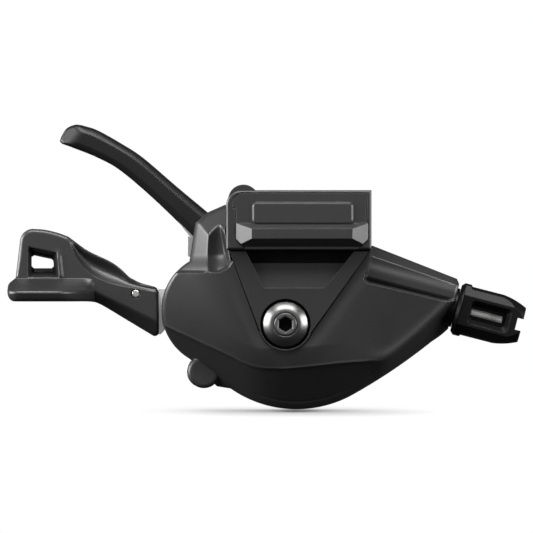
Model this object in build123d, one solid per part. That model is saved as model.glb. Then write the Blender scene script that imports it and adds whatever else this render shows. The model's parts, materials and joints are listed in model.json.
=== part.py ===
from build123d import *
import math
import os

# Trigger gear shifter, all lengths in millimetres.
# X runs right and Z runs up in the front view, and Y runs away from the viewer.
# The origin is the mouth of the bracket nut's thread, on the bracket's back face.
# Sketches are drawn from the lever axle. Depths count from the back of the base plate
# towards the viewer.

# Place of the lever axle and of the base plate from the origin
AXLE_X = -3.1
AXLE_Z = -24.2
MOUNT_SETBACK = 7.0

# Clearances
RUN_CLEAR = 0.05
SLIDE_CLEAR = 0.15
PART_GAP = 0.35
SCREW_CLEAR = 0.2

# Depth stack, from the base plate towards the viewer
PLATE_T = 1.5
LEVER_SPRING_ROOM = 3.2
ARM_T = 1.5
RATCHET_GAP = 0.8
RATCHET_T = 2.0
DRUM_T = 5.0
DRUM_SPRING_ROOM = 4.5
FRONT_WALL = 3.0

# Front cover
COVER_WALL = 2.0
LUG_R = 3.8
LUG_X = -19.0
LUG_Z = -11.2
SCREW_POST_R = 2.6
SCREW_POST_H = 7.0
CAVITY_RIGHT = 18.5
LEFT_DROP = 6.7
RIGHT_DROP = 4.7
WALL_DROP = 10.0
SHOULDER_DROP = 4.0

# Rear cover and the release lever behind the plate
REAR_DEPTH = 5.0
REAR_WALL = 1.6
REAR_STEP = 0.7
REAR_INSET = 0.7
REAR_EDGE_ANGLE = 28.6
PLATE_INSET = 0.5
PLATE_OVERLAP = 3.0
RELEASE_GAP = 2.2
RELEASE_SIDE_GAP = 0.85
RELEASE_Z = 18.6
RELEASE_AXLE_R = 2.0
RELEASE_HUB_R = 4.0
RELEASE_SPRING_ROOM = 2.2
TAIL_ANGLE = -55.0
TAIL_LENGTH = 7.2
TAIL_W = 2.2
HORN_GAP = 0.7
HORN_W = 6.2
HORN_BEVEL = 1.7
HORN_UNDER_BEVEL = 1.0
HORN_TRIM = 0.3
RIVET_R = 0.8
RIVET_HEAD = 0.8
RIVET_HEAD_H = 0.6

# Axle, bolt and washer
AXLE_R = 3.0
BUSH_WALL = 1.4
SLEEVE_WALL = 1.6
BOLT_R = 2.0
BOLT_HEAD_R = 2.65
BOLT_HEAD_H = 2.4
BOLT_LENGTH = 9.0
HEX_FLATS = 3.0
WASHER_R = 5.3
WASHER_H = 1.7
WASHER_RIM = 0.35
WASHER_SINK = 0.5
WASHER_SEAT_GAP = 0.55
WASHER_GROOVE = 1.5
NUT_FLATS = 9.0
NUT_H = 2.4

# Shield plate
SHIELD_T = 2.2
SHIELD_PROUD = 0.3
POCKET_LOW = 8.4
POCKET_HIGH = 14.2
POCKET_SHALLOW = 0.25
POCKET_DEEP = 1.4
SHIELD_TIP_R = 6.2

# Drum, ratchet and pawls
GROOVE_R = 13.5
CABLE_D = 1.2
DRUM_FLANGE = 1.2
RATCHET_R = 12.0
TOOTH_H = 1.7
TOOTH_PITCH = 18.0
TOOTH_COUNT = 11
PAWL_HUB_R = 2.2
PAWL_PIN_R = 1.2
DRIVE_PIN_RADIUS = 16.6
DRIVE_PIN_ANGLE = 168.0
HOLD_PIN_RADIUS = 17.5
HOLD_PIN_ANGLE = 131.0

# Thumb lever
LEVER_SWING = 20.0
SWEEP_STEPS = 5
LEVER_CAST_T = 6.6
ARM_HUB_WALL = 2.6
LEVER_PIN_R = 0.95
LEVER_PIN_X = -34.9
LEVER_PIN_Z = 7.0
PIN_HOLE_GAP = 0.19
PIN_HOLE_DEPTH = 0.3
PAD_FRONT = 19.5
PAD_LEFT = -64.75
PAD_RIGHT = -44.6
PAD_BOTTOM = 5.25
PAD_TOP = 10.6
PAD_LIP = 7.9
PAD_EDGE = 0.8
PAD_CORNER_R = 3.0
HOLLOW_R = 3.0
HOLLOW_DEPTH = 1.6

# Springs
SPRING_BAND = 0.4
SPRING_PITCH = 0.6

# Bracket, its cover and its nut
BRACKET_W = 33.7
BRACKET_H = 13.8
BRACKET_FRONT = 24.4
BRACKET_EDGE_R = 0.6
BRACKET_CORNER_R = 3.4
BUMP_X = -12.9
BUMP_Z = 4.8
BUMP_R = 3.6
BUMP_W = 9.0
BRACKET_FLOOR = 3.0
BRACKET_SIDE = 3.2
BRACKET_BACK = 4.0
BAR_PROUD = 3.0
BAR_END_BEVEL = 3.7
BAR_CORNER = 2.4
PANEL_PROUD = 0.7
PANEL_W = 23.4
PANEL_H = 5.2
PANEL_CORNER_R = 1.1
PANEL_BEVEL = 0.4
COVER_LIP_T = 1.8
RIM_LEFT = 1.45
RIM_RIGHT = 1.25
RIM_TOP = 0.6
RIM_BAR_LEFT = 2.25
RIM_BAR_RIGHT = 0.75
NUT_TRAVEL = 5.0
THREAD_R = 2.1
NUT_NECK_R = 3.6
NUT_FLANGE_W = 10.0
NUT_FLANGE_T = 4.0
BRACKET_SCREW_R = 1.5
BRACKET_SCREW_HEAD_R = 2.7
BRACKET_SCREW_HEAD_H = 2.0
BRACKET_SCREW_LENGTH = 6.6
BRACKET_SCREW_INSET = 0.5

# Cover screws
COVER_SCREW_R = 1.1
COVER_SCREW_HEAD_R = 2.1
COVER_SCREW_HEAD_H = 1.4

# Cable adjuster
CABLE_TILT = 14.5
BOSS_END_X = 39.3
BOSS_R = 5.5
COLLAR_R = 4.6
COLLAR_INSIDE = 2.6
COLLAR_OUT = 0.55
FLANGE_R = 6.2
FLANGE_W = 2.2
FLANGE_BEVEL = 0.7
BARREL_R = 5.8
BARREL_END_R = 4.1
BARREL_LENGTH = 15.8
STEM_R = 2.5
STEM_LENGTH = 9.0
THREAD_TRAVEL_IN = 0.25
TUBE_R = 0.85
SOCKET_R = 2.7
SOCKET_DEPTH = 3.2
END_SLOT_W = 2.8
END_SLOT_D = 1.4
FLAT_START = 0.9
FLAT_OFF = 3.8
FLAT_H = 7.0
FLAT_SIDE = 1.8
WINDOW_START = 3.2
WINDOW_END = 12.8
WINDOW_H = 5.6
WINDOW_SLOPE = 1.3
THROAT_START = 3.6
THROAT_END = 11.8
THROAT_H = 3.4
WINDOW_FLOOR = 1.7

# Larger than the whole part, for sketches that cut
SPAN = 240.0

# Depths that follow from the stack
plate_front = PLATE_T
arm_back = plate_front + LEVER_SPRING_ROOM
arm_front = arm_back + ARM_T
ratchet_back = arm_front + RATCHET_GAP
ratchet_front = ratchet_back + RATCHET_T
drum_front = ratchet_front + DRUM_T
cable_depth = ratchet_front + DRUM_T / 2
wall_back = drum_front + DRUM_SPRING_ROOM
cover_front = wall_back + FRONT_WALL
shield_front = cover_front + SHIELD_PROUD
shield_back = shield_front - SHIELD_T
release_front = -RELEASE_GAP
release_back = release_front - ARM_T
bracket_back = -MOUNT_SETBACK
drum_r = GROOVE_R + CABLE_D
bush_r = AXLE_R + RUN_CLEAR + BUSH_WALL
ledge_z = -AXLE_Z - BRACKET_H / 2
bracket_left = -AXLE_X - BRACKET_W / 2
bracket_right = -AXLE_X + BRACKET_W / 2
release_x = bracket_left - RELEASE_HUB_R - RELEASE_SIDE_GAP
slope = math.tan(math.radians(CABLE_TILT))
boss_end_z = (GROOVE_R + RUN_CLEAR) / math.cos(math.radians(CABLE_TILT)) - BOSS_END_X * slope


def at_depth(depth):
    """Sketch plane at a depth, with its origin on the lever axle."""
    return Plane(
        origin=(AXLE_X, -(MOUNT_SETBACK + depth), AXLE_Z),
        x_dir=(1, 0, 0),
        z_dir=(0, -1, 0),
    )


def slab(face, back, front):
    """A sketch extruded from one depth to another."""
    return extrude(at_depth(back) * face, amount=front - back)


def disc(x, z, radius, back, front):
    return slab(Pos(x, z) * Circle(radius), back, front)


def ring(x, z, outer, inner, back, front):
    return disc(x, z, outer, back, front) - disc(x, z, inner, back - 1, front + 1)


def polar(radius, angle):
    turn = math.radians(angle)
    return (radius * math.cos(turn), radius * math.sin(turn))


def spot(x, z, depth):
    """World point of a sketch point at a depth."""
    return Vector(AXLE_X + x, -(MOUNT_SETBACK + depth), AXLE_Z + z)


def in_front_of(p1, p2, p3, sink=0.0):
    """Half space on the viewer's side of the plane through three (x, z, depth) points."""
    a = spot(*p1)
    normal = (spot(*p2) - a).cross(spot(*p3) - a).normalized()
    if normal.Y > 0:
        normal = normal * -1
    start = a - normal * sink
    return Plane(origin=start, z_dir=normal) * Box(
        SPAN, SPAN, SPAN / 4, align=(Align.CENTER, Align.CENTER, Align.MIN)
    )


def left_of(x):
    """Sketch of everything to the left of a line."""
    return Pos(x - SPAN / 2, 0) * Rectangle(SPAN, SPAN)


def along_cable(distance):
    """Plane across the cable line, at a distance outwards from the boss's end face."""
    turn = math.radians(CABLE_TILT)
    place = spot(
        BOSS_END_X + distance * math.cos(turn),
        boss_end_z - distance * math.sin(turn),
        cable_depth,
    )
    return Plane(origin=place, x_dir=(0, -1, 0), z_dir=(math.cos(turn), 0, -math.sin(turn)))


def rod(radius, start, end):
    """A round bar on the cable line."""
    return extrude(along_cable(start) * Circle(radius), amount=end - start)


def outline():
    """Front view of the housing without its lug, from lines and arcs."""
    left = bracket_left - SLIDE_CLEAR
    boss_low = (BOSS_END_X - 1.3, boss_end_z - BOSS_R + 0.5)
    boss_high = (BOSS_END_X + 1.2, boss_end_z + BOSS_R)
    edges = [
        Line((left, ledge_z), (left, ledge_z + 10.6)),
        Line((left, ledge_z + 10.6), (left - 4.3, 26.0)),
        Line((left - 4.3, 26.0), (left - 7.1, 23.6)),
        Line((left - 7.1, 23.6), (left - 8.5, 14.6)),
        ThreePointArc((left - 8.5, 14.6), (-28.9, 2.9), (-22.3, -8.2)),
        Line((-22.3, -8.2), (-16.0, -14.6)),
        Line((-16.0, -14.6), (-12.8, -15.1)),
        ThreePointArc((-12.8, -15.1), (2.65, -19.93), (15.07, -16.88)),
        ThreePointArc((15.07, -16.88), (24.4, -11.2), (34.2, -4.07)),
        ThreePointArc((34.2, -4.07), (36.4, -2.3), boss_low),
        Line(boss_low, boss_high),
        Line(boss_high, (BOSS_END_X + 0.7, boss_end_z + BOSS_R + 1.2)),
        Line((BOSS_END_X + 0.7, boss_end_z + BOSS_R + 1.2), (bracket_right + 0.3, ledge_z + 1.0)),
        Line((bracket_right + 0.3, ledge_z + 1.0), (bracket_right + 0.3, ledge_z)),
        Line((bracket_right + 0.3, ledge_z), (left, ledge_z)),
    ]
    return make_face(Wire(edges))


def facets(body, sink=0.0):
    """Cut the sloped faces of the moulding, or of its cavity when sunk by the wall."""
    top = cover_front
    left = top - LEFT_DROP
    right = top - RIGHT_DROP
    low = top - WALL_DROP
    body -= in_front_of((-12.0, 14.4, top), (-6.2, -1.4, top), (-28.5, 3.0, left), sink)
    body -= in_front_of((-28.5, -0.5, left), (-9.0, -9.4, top - 1.8), (-18.5, -14.6, low), sink)
    body -= in_front_of((-6.0, -10.1, top - 0.9), (13.6, -9.1, top - 2.1), (2.6, -19.9, low), sink)
    body -= in_front_of((17.6, 14.2, top), (6.2, -1.9, top), (38.0, 4.2, right), sink)
    body -= in_front_of((23.8, -7.7, top - 3.7), (38.7, 5.8, right), (30.0, -7.2, low), sink)
    # Two small faces at the shoulder beside the bracket
    edge = bracket_left
    high = top - SHOULDER_DROP
    shoulder = in_front_of((edge - 7.2, 23.5, low), (edge - 8.6, 14.4, low), (edge - 3.5, 20.5, high), sink)
    inner = (edge - 1.7, 21.0, high)
    shoulder += in_front_of((edge - 6.1, 24.9, low), (edge - 0.5, 27.9, low), inner, sink)
    reach = (edge - 26.0, 40.0)
    corner = make_face(
        Polyline(
            (reach[0], 12.6),
            (edge - 1.4, 12.4),
            (edge + 0.8, 15.0),
            (edge + 0.8, reach[1]),
            reach,
            close=True,
        )
    )
    body -= shoulder & slab(corner, -SPAN / 2, SPAN / 2)
    return body


lug = Pos(LUG_X, LUG_Z) * Circle(LUG_R)
screw_places = [(LUG_X, LUG_Z), (16.0, -10.0), (16.5, 12.0)]
post_front = plate_front + SCREW_POST_H
bracket_screw_depth = wall_back - SCREW_POST_R
screw_reach = BRACKET_W / 2 - BRACKET_SIDE - BRACKET_SCREW_HEAD_R - BRACKET_SCREW_INSET
bracket_screw_xs = (-AXLE_X - screw_reach, -AXLE_X + screw_reach)
screw_tip_z = ledge_z + BRACKET_FLOOR - BRACKET_SCREW_LENGTH


def bracket_screw_bar(x, radius, low, high):
    """A round bar up through the bracket's floor."""
    base = Plane(origin=spot(x, low, bracket_screw_depth), x_dir=(1, 0, 0), z_dir=(0, 0, 1))
    return extrude(base * Circle(radius), amount=high - low)


def make_front_cover():
    body = facets(slab(outline(), plate_front, cover_front))
    body += slab(lug, plate_front, cover_front - WALL_DROP)
    # Lower face over the cable line, between the block and the boss
    past = BOSS_END_X + 11.0
    web = make_face(
        Polyline(
            (17.6, 24.0),
            (17.6, 14.4),
            (18.5, 10.2),
            (19.7, 9.3),
            (36.4, 6.05),
            (past, 6.0),
            (past, 24.0),
            close=True,
        )
    )
    crest = cable_depth + BOSS_R - 0.5
    web_back = (30.0, 14.6, cable_depth + 0.6)
    web_top = in_front_of((19.7, 9.3, crest + 0.1), (38.0, 6.0, crest - 0.1), web_back)
    body -= slab(web, cable_depth - 2, cover_front + 2) & web_top
    # The boss rises from the plate, so its back slopes clear of the brake lever
    body -= Plane(
        origin=spot(23.0, 0, plate_front), x_dir=(0, 0, 1), z_dir=(0.25, 1, 0)
    ) * Box(120, 120, 20, align=(Align.CENTER, Align.CENTER, Align.MIN))
    hollow = facets(slab(offset(outline(), -COVER_WALL), plate_front - 1, wall_back), COVER_WALL)
    hollow &= slab(left_of(CAVITY_RIGHT), -SPAN / 2, SPAN / 2)
    posts = [disc(x, z, SCREW_POST_R, plate_front, post_front) for x, z in screw_places]
    posts += [
        bracket_screw_bar(x, SCREW_POST_R, screw_tip_z - 1.0, ledge_z) for x in bracket_screw_xs
    ]
    hollow -= Part() + posts
    body -= hollow
    body -= disc(0, 0, drum_r + PART_GAP, plate_front - 1, drum_front + PART_GAP)
    body -= disc(hold_x, hold_z, PAWL_HUB_R + PART_GAP, plate_front - 1, pawl_front + PART_GAP)
    rivet_room = RELEASE_AXLE_R + RIVET_HEAD + PART_GAP
    body -= disc(release_x, RELEASE_Z, rivet_room, plate_front - 1, plate_front + RIVET_HEAD_H + PART_GAP)
    # Side slot for the thumb lever's arm
    body -= slab(arm_sweep(PART_GAP), arm_back - PART_GAP, arm_front + PART_GAP)
    # Seats and holes
    body -= slab(shield_face(SLIDE_CLEAR), shield_back, cover_front + 5)
    body -= disc(0, 0, BOLT_R + SCREW_CLEAR, 0, cover_front + 5)
    for x, z in screw_places:
        body -= disc(x, z, COVER_SCREW_R, plate_front - 1, post_front - 1)
    for x in bracket_screw_xs:
        body -= bracket_screw_bar(x, BRACKET_SCREW_R, screw_tip_z - 0.2, ledge_z + 1)
    body -= rod(COLLAR_R + SLIDE_CLEAR, -(COLLAR_INSIDE + THREAD_TRAVEL_IN + PART_GAP), 5)
    body -= rod(STEM_R + RUN_CLEAR, -(STEM_LENGTH + THREAD_TRAVEL_IN + PART_GAP), 1)
    body -= rod(TUBE_R, -(STEM_LENGTH + 6.0), 1)
    body -= rod(TUBE_R, -26.0, -10)
    return body


def arm_sweep(gap):
    """Front view of all that the steel arm passes over in its swing, with a gap round it."""
    wide = offset(neck_face(), gap)
    face = wide
    for k in range(1, SWEEP_STEPS + 1):
        face += Rot(0, 0, LEVER_SWING * k / SWEEP_STEPS) * wide
    return face


def shield_face(gap=0.0):
    """V outline of the shield plate, with a round tip below the axle."""
    top = ledge_z - PART_GAP
    lean_left = 0.367
    lean_right = 0.708
    tip = SHIELD_TIP_R
    left_top = (-6.2 - lean_left * (top + 1.4), top)
    right_top = (6.2 + lean_right * (top + 1.9), top)
    body = make_face(
        Polyline(left_top, (-6.0, -1.5), (6.0, -1.9), right_top, close=True)
    )
    body += Circle(tip)
    return offset(body, gap) if gap else body


def make_shield_plate():
    body = slab(shield_face(), shield_back, shield_front)
    # Pocket whose floor falls towards the bracket and opens right through under it
    low, high, top = POCKET_LOW, POCKET_HIGH, ledge_z
    corners = [(-9.3, top), (-5.05, low), (9.07, low), (10.8, low + 1.9), (16.2, top)]
    pocket = make_face(Polyline(*corners, close=True))
    edge = shield_front - POCKET_SHALLOW
    floor = in_front_of((0, low, edge), (5, low, edge), (0, high, shield_front - POCKET_DEEP))
    body -= slab(pocket, shield_back, shield_front + 2) & floor
    opening = pocket & (Pos(0, high + SPAN / 2) * Rectangle(SPAN, SPAN))
    body -= slab(opening, shield_back - 1, shield_front + 1)
    # Seat of the washer, with a groove round it
    recess = WASHER_R + WASHER_SEAT_GAP
    body -= disc(0, 0, recess, washer_seat, shield_front + 2)
    groove = Circle(recess) - Circle(WASHER_R - WASHER_SEAT_GAP)
    body -= slab(groove, shield_front - WASHER_GROOVE, shield_front)
    body -= disc(0, 0, BOLT_R + SCREW_CLEAR, 0, shield_front + 5)
    return body


def turned(profile):
    """A profile of (radius, depth) points turned about the lever axle."""
    points = [spot(r, 0, d) for r, d in profile]
    face = make_face(Polyline(*points, close=True))
    axis = Axis(spot(0, 0, 0), (0, 1, 0))
    return revolve(face, axis=axis)


washer_seat = shield_front - WASHER_SINK


def make_dome_washer():
    bore = BOLT_R + SCREW_CLEAR
    eye = BOLT_HEAD_R + RUN_CLEAR
    seat = washer_seat
    rim = seat + WASHER_RIM
    crown = seat + WASHER_H
    bed = seat + WASHER_SINK
    middle = spot((WASHER_R + eye) / 2 + 0.1, 0, rim + 0.6 * (crown - rim))
    flat = [(eye + 0.2, crown), (eye, crown - 0.2), (eye, bed), (bore, bed), (bore, seat)]
    flat += [(WASHER_R, seat), (WASHER_R, rim)]
    points = [spot(r, 0, d) for r, d in flat]
    dome = ThreePointArc(points[-1], middle, points[0])
    half = make_face(Polyline(*points).edges() + [dome])
    return revolve(half, axis=Axis(spot(0, 0, 0), (0, 1, 0)))


def make_axle_bolt():
    under = washer_seat + 0.5
    top = under + BOLT_HEAD_H * 0.6
    body = disc(0, 0, BOLT_HEAD_R, under, top)
    body += disc(0, 0, BOLT_R, under - BOLT_LENGTH, under)
    socket = Rot(0, 0, 30) * RegularPolygon(HEX_FLATS / 2, 6, major_radius=False)
    body -= slab(socket, top - BOLT_HEAD_H * 0.9, top + 1)
    return body


def make_main_axle():
    body = disc(0, 0, AXLE_R, -NUT_H, wall_back)
    body += disc(0, 0, AXLE_R + 1.2, plate_front, plate_front + 0.6)
    body -= disc(0, 0, BOLT_R, washer_seat - BOLT_LENGTH, wall_back + 1)
    return body


def make_axle_nut():
    hexagon = RegularPolygon(NUT_FLATS / 2, 6, major_radius=False)
    return slab(hexagon, -NUT_H, 0) - disc(0, 0, AXLE_R, -NUT_H - 1, 1)


def make_base_plate():
    face = offset(outline(), -PLATE_INSET) & left_of(CAVITY_RIGHT + PLATE_OVERLAP)
    face += Pos(LUG_X - 0.3, LUG_Z) * Circle(LUG_R)
    # Tab beside the release lever, its edge bare
    tip = bracket_left - 9.1
    tab = [(tip, 15.8), (tip + 4.85, 14.5), (tip + 5.85, 21.5), (tip, 20.4)]
    face += make_face(Polyline(*tab, close=True))
    body = slab(face, 0, plate_front)
    body -= disc(0, 0, AXLE_R, -1, plate_front + 1)
    body -= disc(release_x, RELEASE_Z, RELEASE_AXLE_R, -1, plate_front + 1)
    hold_x, hold_z = polar(HOLD_PIN_RADIUS, HOLD_PIN_ANGLE)
    body -= disc(hold_x, hold_z, PAWL_PIN_R, -1, plate_front + 1)
    for x, z in screw_places:
        body -= disc(x, z, COVER_SCREW_R + SCREW_CLEAR, -1, plate_front + 1)
    return body


def make_rear_cover():
    # The lid follows the housing, but stays clear of the release lever's tail
    face = offset(outline(), -REAR_INSET) & left_of(CAVITY_RIGHT + PLATE_OVERLAP - REAR_INSET)
    reach = TAIL_LENGTH + TAIL_W + PART_GAP
    above = Rot(0, 0, REAR_EDGE_ANGLE) * Pos(0, SPAN / 2 - reach) * Rectangle(SPAN, SPAN)
    face -= Pos(release_x, RELEASE_Z) * above
    face &= Pos(0, ledge_z - REAR_INSET * 2 - SPAN / 2) * Rectangle(SPAN, SPAN)
    body = slab(face, -REAR_DEPTH + REAR_STEP, 0)
    body += slab(offset(face, -2 * REAR_STEP), -REAR_DEPTH, 0)
    body += slab(Pos(LUG_X, LUG_Z) * Circle(LUG_R - 0.2), -REAR_DEPTH, 0)
    hollow = slab(offset(face, -REAR_WALL), -REAR_DEPTH + REAR_WALL, 1)
    posts = [disc(x, z, SCREW_POST_R, -REAR_DEPTH, 0) for x, z in screw_places]
    body -= hollow - (Part() + posts)
    for x, z in screw_places:
        body -= disc(x, z, COVER_SCREW_R + SCREW_CLEAR, -REAR_DEPTH - 1, 1)
        head_front = -REAR_DEPTH + COVER_SCREW_HEAD_H
        body -= disc(x, z, COVER_SCREW_HEAD_R + SCREW_CLEAR, -REAR_DEPTH - 1, head_front)
    return body


def make_cover_screws():
    group = []
    head_front = -REAR_DEPTH + COVER_SCREW_HEAD_H
    for x, z in screw_places:
        screw = disc(x, z, COVER_SCREW_HEAD_R, -REAR_DEPTH, head_front)
        screw += disc(x, z, COVER_SCREW_R, head_front, post_front - 1.4)
        slot = Pos(x, z) * Rectangle(2.8, 0.6) + Pos(x, z) * Rectangle(0.6, 2.8)
        screw -= slab(slot, -REAR_DEPTH - 1, -REAR_DEPTH + 0.8)
        group.append(screw)
    return Compound(children=group)


def make_spacer_sleeve():
    inner = AXLE_R + RUN_CLEAR
    return ring(0, 0, inner + SLEEVE_WALL, inner, drum_front + SLIDE_CLEAR, wall_back)


def make_cable_drum():
    mid = cable_depth
    half = CABLE_D * 0.62
    rim = GROOVE_R - 2.2
    body = turned([
        (bush_r, ratchet_front),
        (drum_r, ratchet_front),
        (drum_r, mid - half),
        (GROOVE_R, mid - half * 0.6),
        (GROOVE_R, mid + half * 0.6),
        (drum_r, mid + half),
        (drum_r, drum_front),
        (rim, drum_front),
        (rim, drum_front - DRUM_FLANGE),
        (bush_r + 2.4, drum_front - DRUM_FLANGE),
        (bush_r + 2.4, drum_front),
        (bush_r, drum_front),
    ])
    # Pocket for the cable's end
    x, z = polar(GROOVE_R - 2.4, 250)
    body -= disc(x, z, 2.2, mid - 2, drum_front + 1)
    return body


def make_ratchet_wheel():
    root = RATCHET_R - TOOTH_H
    face = Circle(root)
    tooth = make_face(
        Polyline(
            polar(root - 1, 0),
            polar(root - 1, TOOTH_PITCH),
            polar(root, TOOTH_PITCH),
            polar(RATCHET_R, 3.0),
            polar(RATCHET_R, 0),
            close=True,
        )
    )
    for k in range(TOOTH_COUNT):
        face += Rot(0, 0, 60 + k * TOOTH_PITCH) * tooth
    face -= Circle(bush_r)
    return slab(face, ratchet_back, ratchet_front)


def make_drum_bush():
    inner = AXLE_R + RUN_CLEAR
    return ring(0, 0, bush_r, inner, ratchet_back - SLIDE_CLEAR * 2, drum_front)


drive_x, drive_z = polar(DRIVE_PIN_RADIUS, DRIVE_PIN_ANGLE)
hold_x, hold_z = polar(HOLD_PIN_RADIUS, HOLD_PIN_ANGLE)
tongue = [
    (-27.6, 8.4),
    (-30.2, 8.2),
    (-43.0, 12.0),
    (-43.6, 7.4),
    (-31.6, -2.0),
    (-29.2, -2.5),
    (-28.3, -1.6),
    (-27.6, 1.6),
]


def neck_face():
    """Neck and tongue of the thumb lever's steel arm."""
    hub = bush_r + ARM_HUB_WALL
    neck = Polyline((-2.0, hub - 0.6), tongue[0], tongue[-1], (-2.0, 2 - hub), close=True)
    return make_face(neck) + make_face(Polyline(*tongue, close=True))


def arm_face():
    """Steel arm of the thumb lever: hub, neck and the tongue inside the cast lever."""
    face = Circle(bush_r + ARM_HUB_WALL)
    face += neck_face()
    face += Pos(drive_x, drive_z) * Circle(PAWL_PIN_R + 1.6)
    return face


def make_lever_arm():
    body = slab(arm_face(), arm_back, arm_front)
    body -= disc(0, 0, bush_r, arm_back - 1, arm_front + 1)
    body -= disc(drive_x, drive_z, PAWL_PIN_R, arm_back - 1, arm_front + 1)
    body -= disc(LEVER_PIN_X, LEVER_PIN_Z, LEVER_PIN_R, arm_back - 1, arm_front + 1)
    return body


def make_lever_bush():
    inner = AXLE_R + RUN_CLEAR
    back = plate_front + 0.6 + SLIDE_CLEAR
    body = ring(0, 0, bush_r, inner, back, arm_front)
    body += ring(0, 0, bush_r + 1.2, bush_r - 0.2, arm_front, arm_front + 0.3)
    return body


cast_back = (arm_back + arm_front) / 2 - LEVER_CAST_T / 2
cast_front = cast_back + LEVER_CAST_T


def lever_outline():
    """Front view of the cast thumb lever."""
    edges = [
        Spline((-29.7, 8.5), (-33.9, 9.6), (-38.7, 13.0), (-46.2, 17.1), (-50.8, 20.4), (-59.1, 22.2)),
        ThreePointArc((-59.1, 22.2), (-61.2, 21.2), (-62.0, 19.3)),
        Line((-62.0, 19.3), (-63.1, 10.7)),
        ThreePointArc((-63.1, 10.7), (-64.75, 8.2), (-63.0, 5.25)),
        Line((-63.0, 5.25), (-45.7, 5.25)),
        ThreePointArc((-45.7, 5.25), (-44.0, 4.9), (-42.4, 4.1)),
        Line((-42.4, 4.1), (-31.1, -2.7)),
        ThreePointArc((-31.1, -2.7), (-29.9, -2.9), (-29.6, -1.8)),
        Line((-29.6, -1.8), (-29.7, 8.5)),
    ]
    return make_face(Wire(edges))


def lever_pad():
    """Pad of the thumb lever: dished on top, round in plan, and tapered into the neck."""
    low = PAD_BOTTOM
    section = [
        Line(spot(PAD_LEFT, low, cast_back), spot(PAD_LEFT, PAD_TOP, cast_back)),
        Line(spot(PAD_LEFT, PAD_TOP, cast_back), spot(PAD_LEFT, PAD_TOP, cast_front)),
        ThreePointArc(
            spot(PAD_LEFT, PAD_TOP, cast_front),
            spot(PAD_LEFT, PAD_LIP + 0.8, cast_front + 4.5),
            spot(PAD_LEFT, PAD_LIP, PAD_FRONT - PAD_EDGE),
        ),
        Line(spot(PAD_LEFT, PAD_LIP, PAD_FRONT - PAD_EDGE), spot(PAD_LEFT, PAD_LIP - PAD_EDGE, PAD_FRONT)),
        Line(spot(PAD_LEFT, PAD_LIP - PAD_EDGE, PAD_FRONT), spot(PAD_LEFT, low + PAD_EDGE, PAD_FRONT)),
        Line(spot(PAD_LEFT, low + PAD_EDGE, PAD_FRONT), spot(PAD_LEFT, low, PAD_FRONT - PAD_EDGE)),
        Line(spot(PAD_LEFT, low, PAD_FRONT - PAD_EDGE), spot(PAD_LEFT, low, cast_back)),
    ]
    bar = extrude(make_face(Wire(section)), amount=PAD_RIGHT - PAD_LEFT, dir=(1, 0, 0))
    r = PAD_CORNER_R
    bend = r * (1 - math.sqrt(0.5))
    taper = PAD_RIGHT - 9.4
    plan = [
        Line(spot(PAD_LEFT, low, cast_back), spot(PAD_LEFT, low, PAD_FRONT - r)),
        ThreePointArc(
            spot(PAD_LEFT, low, PAD_FRONT - r),
            spot(PAD_LEFT + bend, low, PAD_FRONT - bend),
            spot(PAD_LEFT + r, low, PAD_FRONT),
        ),
        Line(spot(PAD_LEFT + r, low, PAD_FRONT), spot(taper, low, PAD_FRONT)),
        ThreePointArc(
            spot(taper, low, PAD_FRONT),
            spot(PAD_RIGHT - 3.0, low, PAD_FRONT - 4.6),
            spot(PAD_RIGHT, low, cast_front),
        ),
        Line(spot(PAD_RIGHT, low, cast_front), spot(PAD_RIGHT, low, cast_back)),
        Line(spot(PAD_RIGHT, low, cast_back), spot(PAD_LEFT, low, cast_back)),
    ]
    shape = extrude(make_face(Wire(plan)), amount=PAD_TOP - low, dir=(0, 0, 1))
    return bar & shape & slab(lever_outline(), cast_back, PAD_FRONT + 1)


def make_main_lever():
    body = slab(lever_outline(), cast_back, cast_front)
    # Hollow that runs along the top of the neck and out beside the head
    depth = cast_front + HOLLOW_R - HOLLOW_DEPTH
    run = Spline(
        spot(-29.0, 11.4, depth),
        spot(-36.0, 12.0, depth),
        spot(-42.0, 13.8, depth),
        spot(-46.5, 17.4, depth),
        spot(-49.6, 24.0, depth),
    )
    body -= sweep(Plane(origin=run @ 0, z_dir=run % 0) * Circle(HOLLOW_R), path=run)
    body += lever_pad()
    # Window that narrows towards the back
    mouth = make_face(Polyline((-60.1, 17.9), (-53.4, 16.4), (-52.9, 11.6), (-60.1, 11.6), close=True))
    throat = make_face(Polyline((-59.4, 16.1), (-54.6, 15.2), (-54.2, 13.0), (-59.4, 13.0), close=True))
    body -= slab(throat, cast_back - 1, cast_front + 1)
    body -= loft([at_depth(cast_front - 2.5) * throat, at_depth(cast_front + 0.01) * mouth])
    # Lower edge of the neck is bevelled towards the viewer
    under = make_face(Polyline((-45.5, 7.0), (-29.0, 2.0), (-29.0, -5.0), (-45.5, 0.0), close=True))
    bevel = in_front_of((-45.0, 7.9, cast_front), (-31.1, 0.9, cast_front), (-38.0, 1.4, cast_front - 2.2))
    body -= bevel & slab(under, cast_back, cast_front + 1)
    body -= slab(make_face(Polyline(*tongue, close=True)), arm_back, arm_front)
    body -= disc(LEVER_PIN_X, LEVER_PIN_Z, LEVER_PIN_R, cast_back - 1, cast_front + 1)
    hole = LEVER_PIN_R + PIN_HOLE_GAP
    body -= disc(LEVER_PIN_X, LEVER_PIN_Z, hole, cast_front - PIN_HOLE_DEPTH, cast_front + 1)
    return body


def make_lever_pin():
    return disc(LEVER_PIN_X, LEVER_PIN_Z, LEVER_PIN_R, cast_back, cast_front)


pawl_back = ratchet_back + SLIDE_CLEAR
pawl_front = ratchet_front - SLIDE_CLEAR


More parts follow.
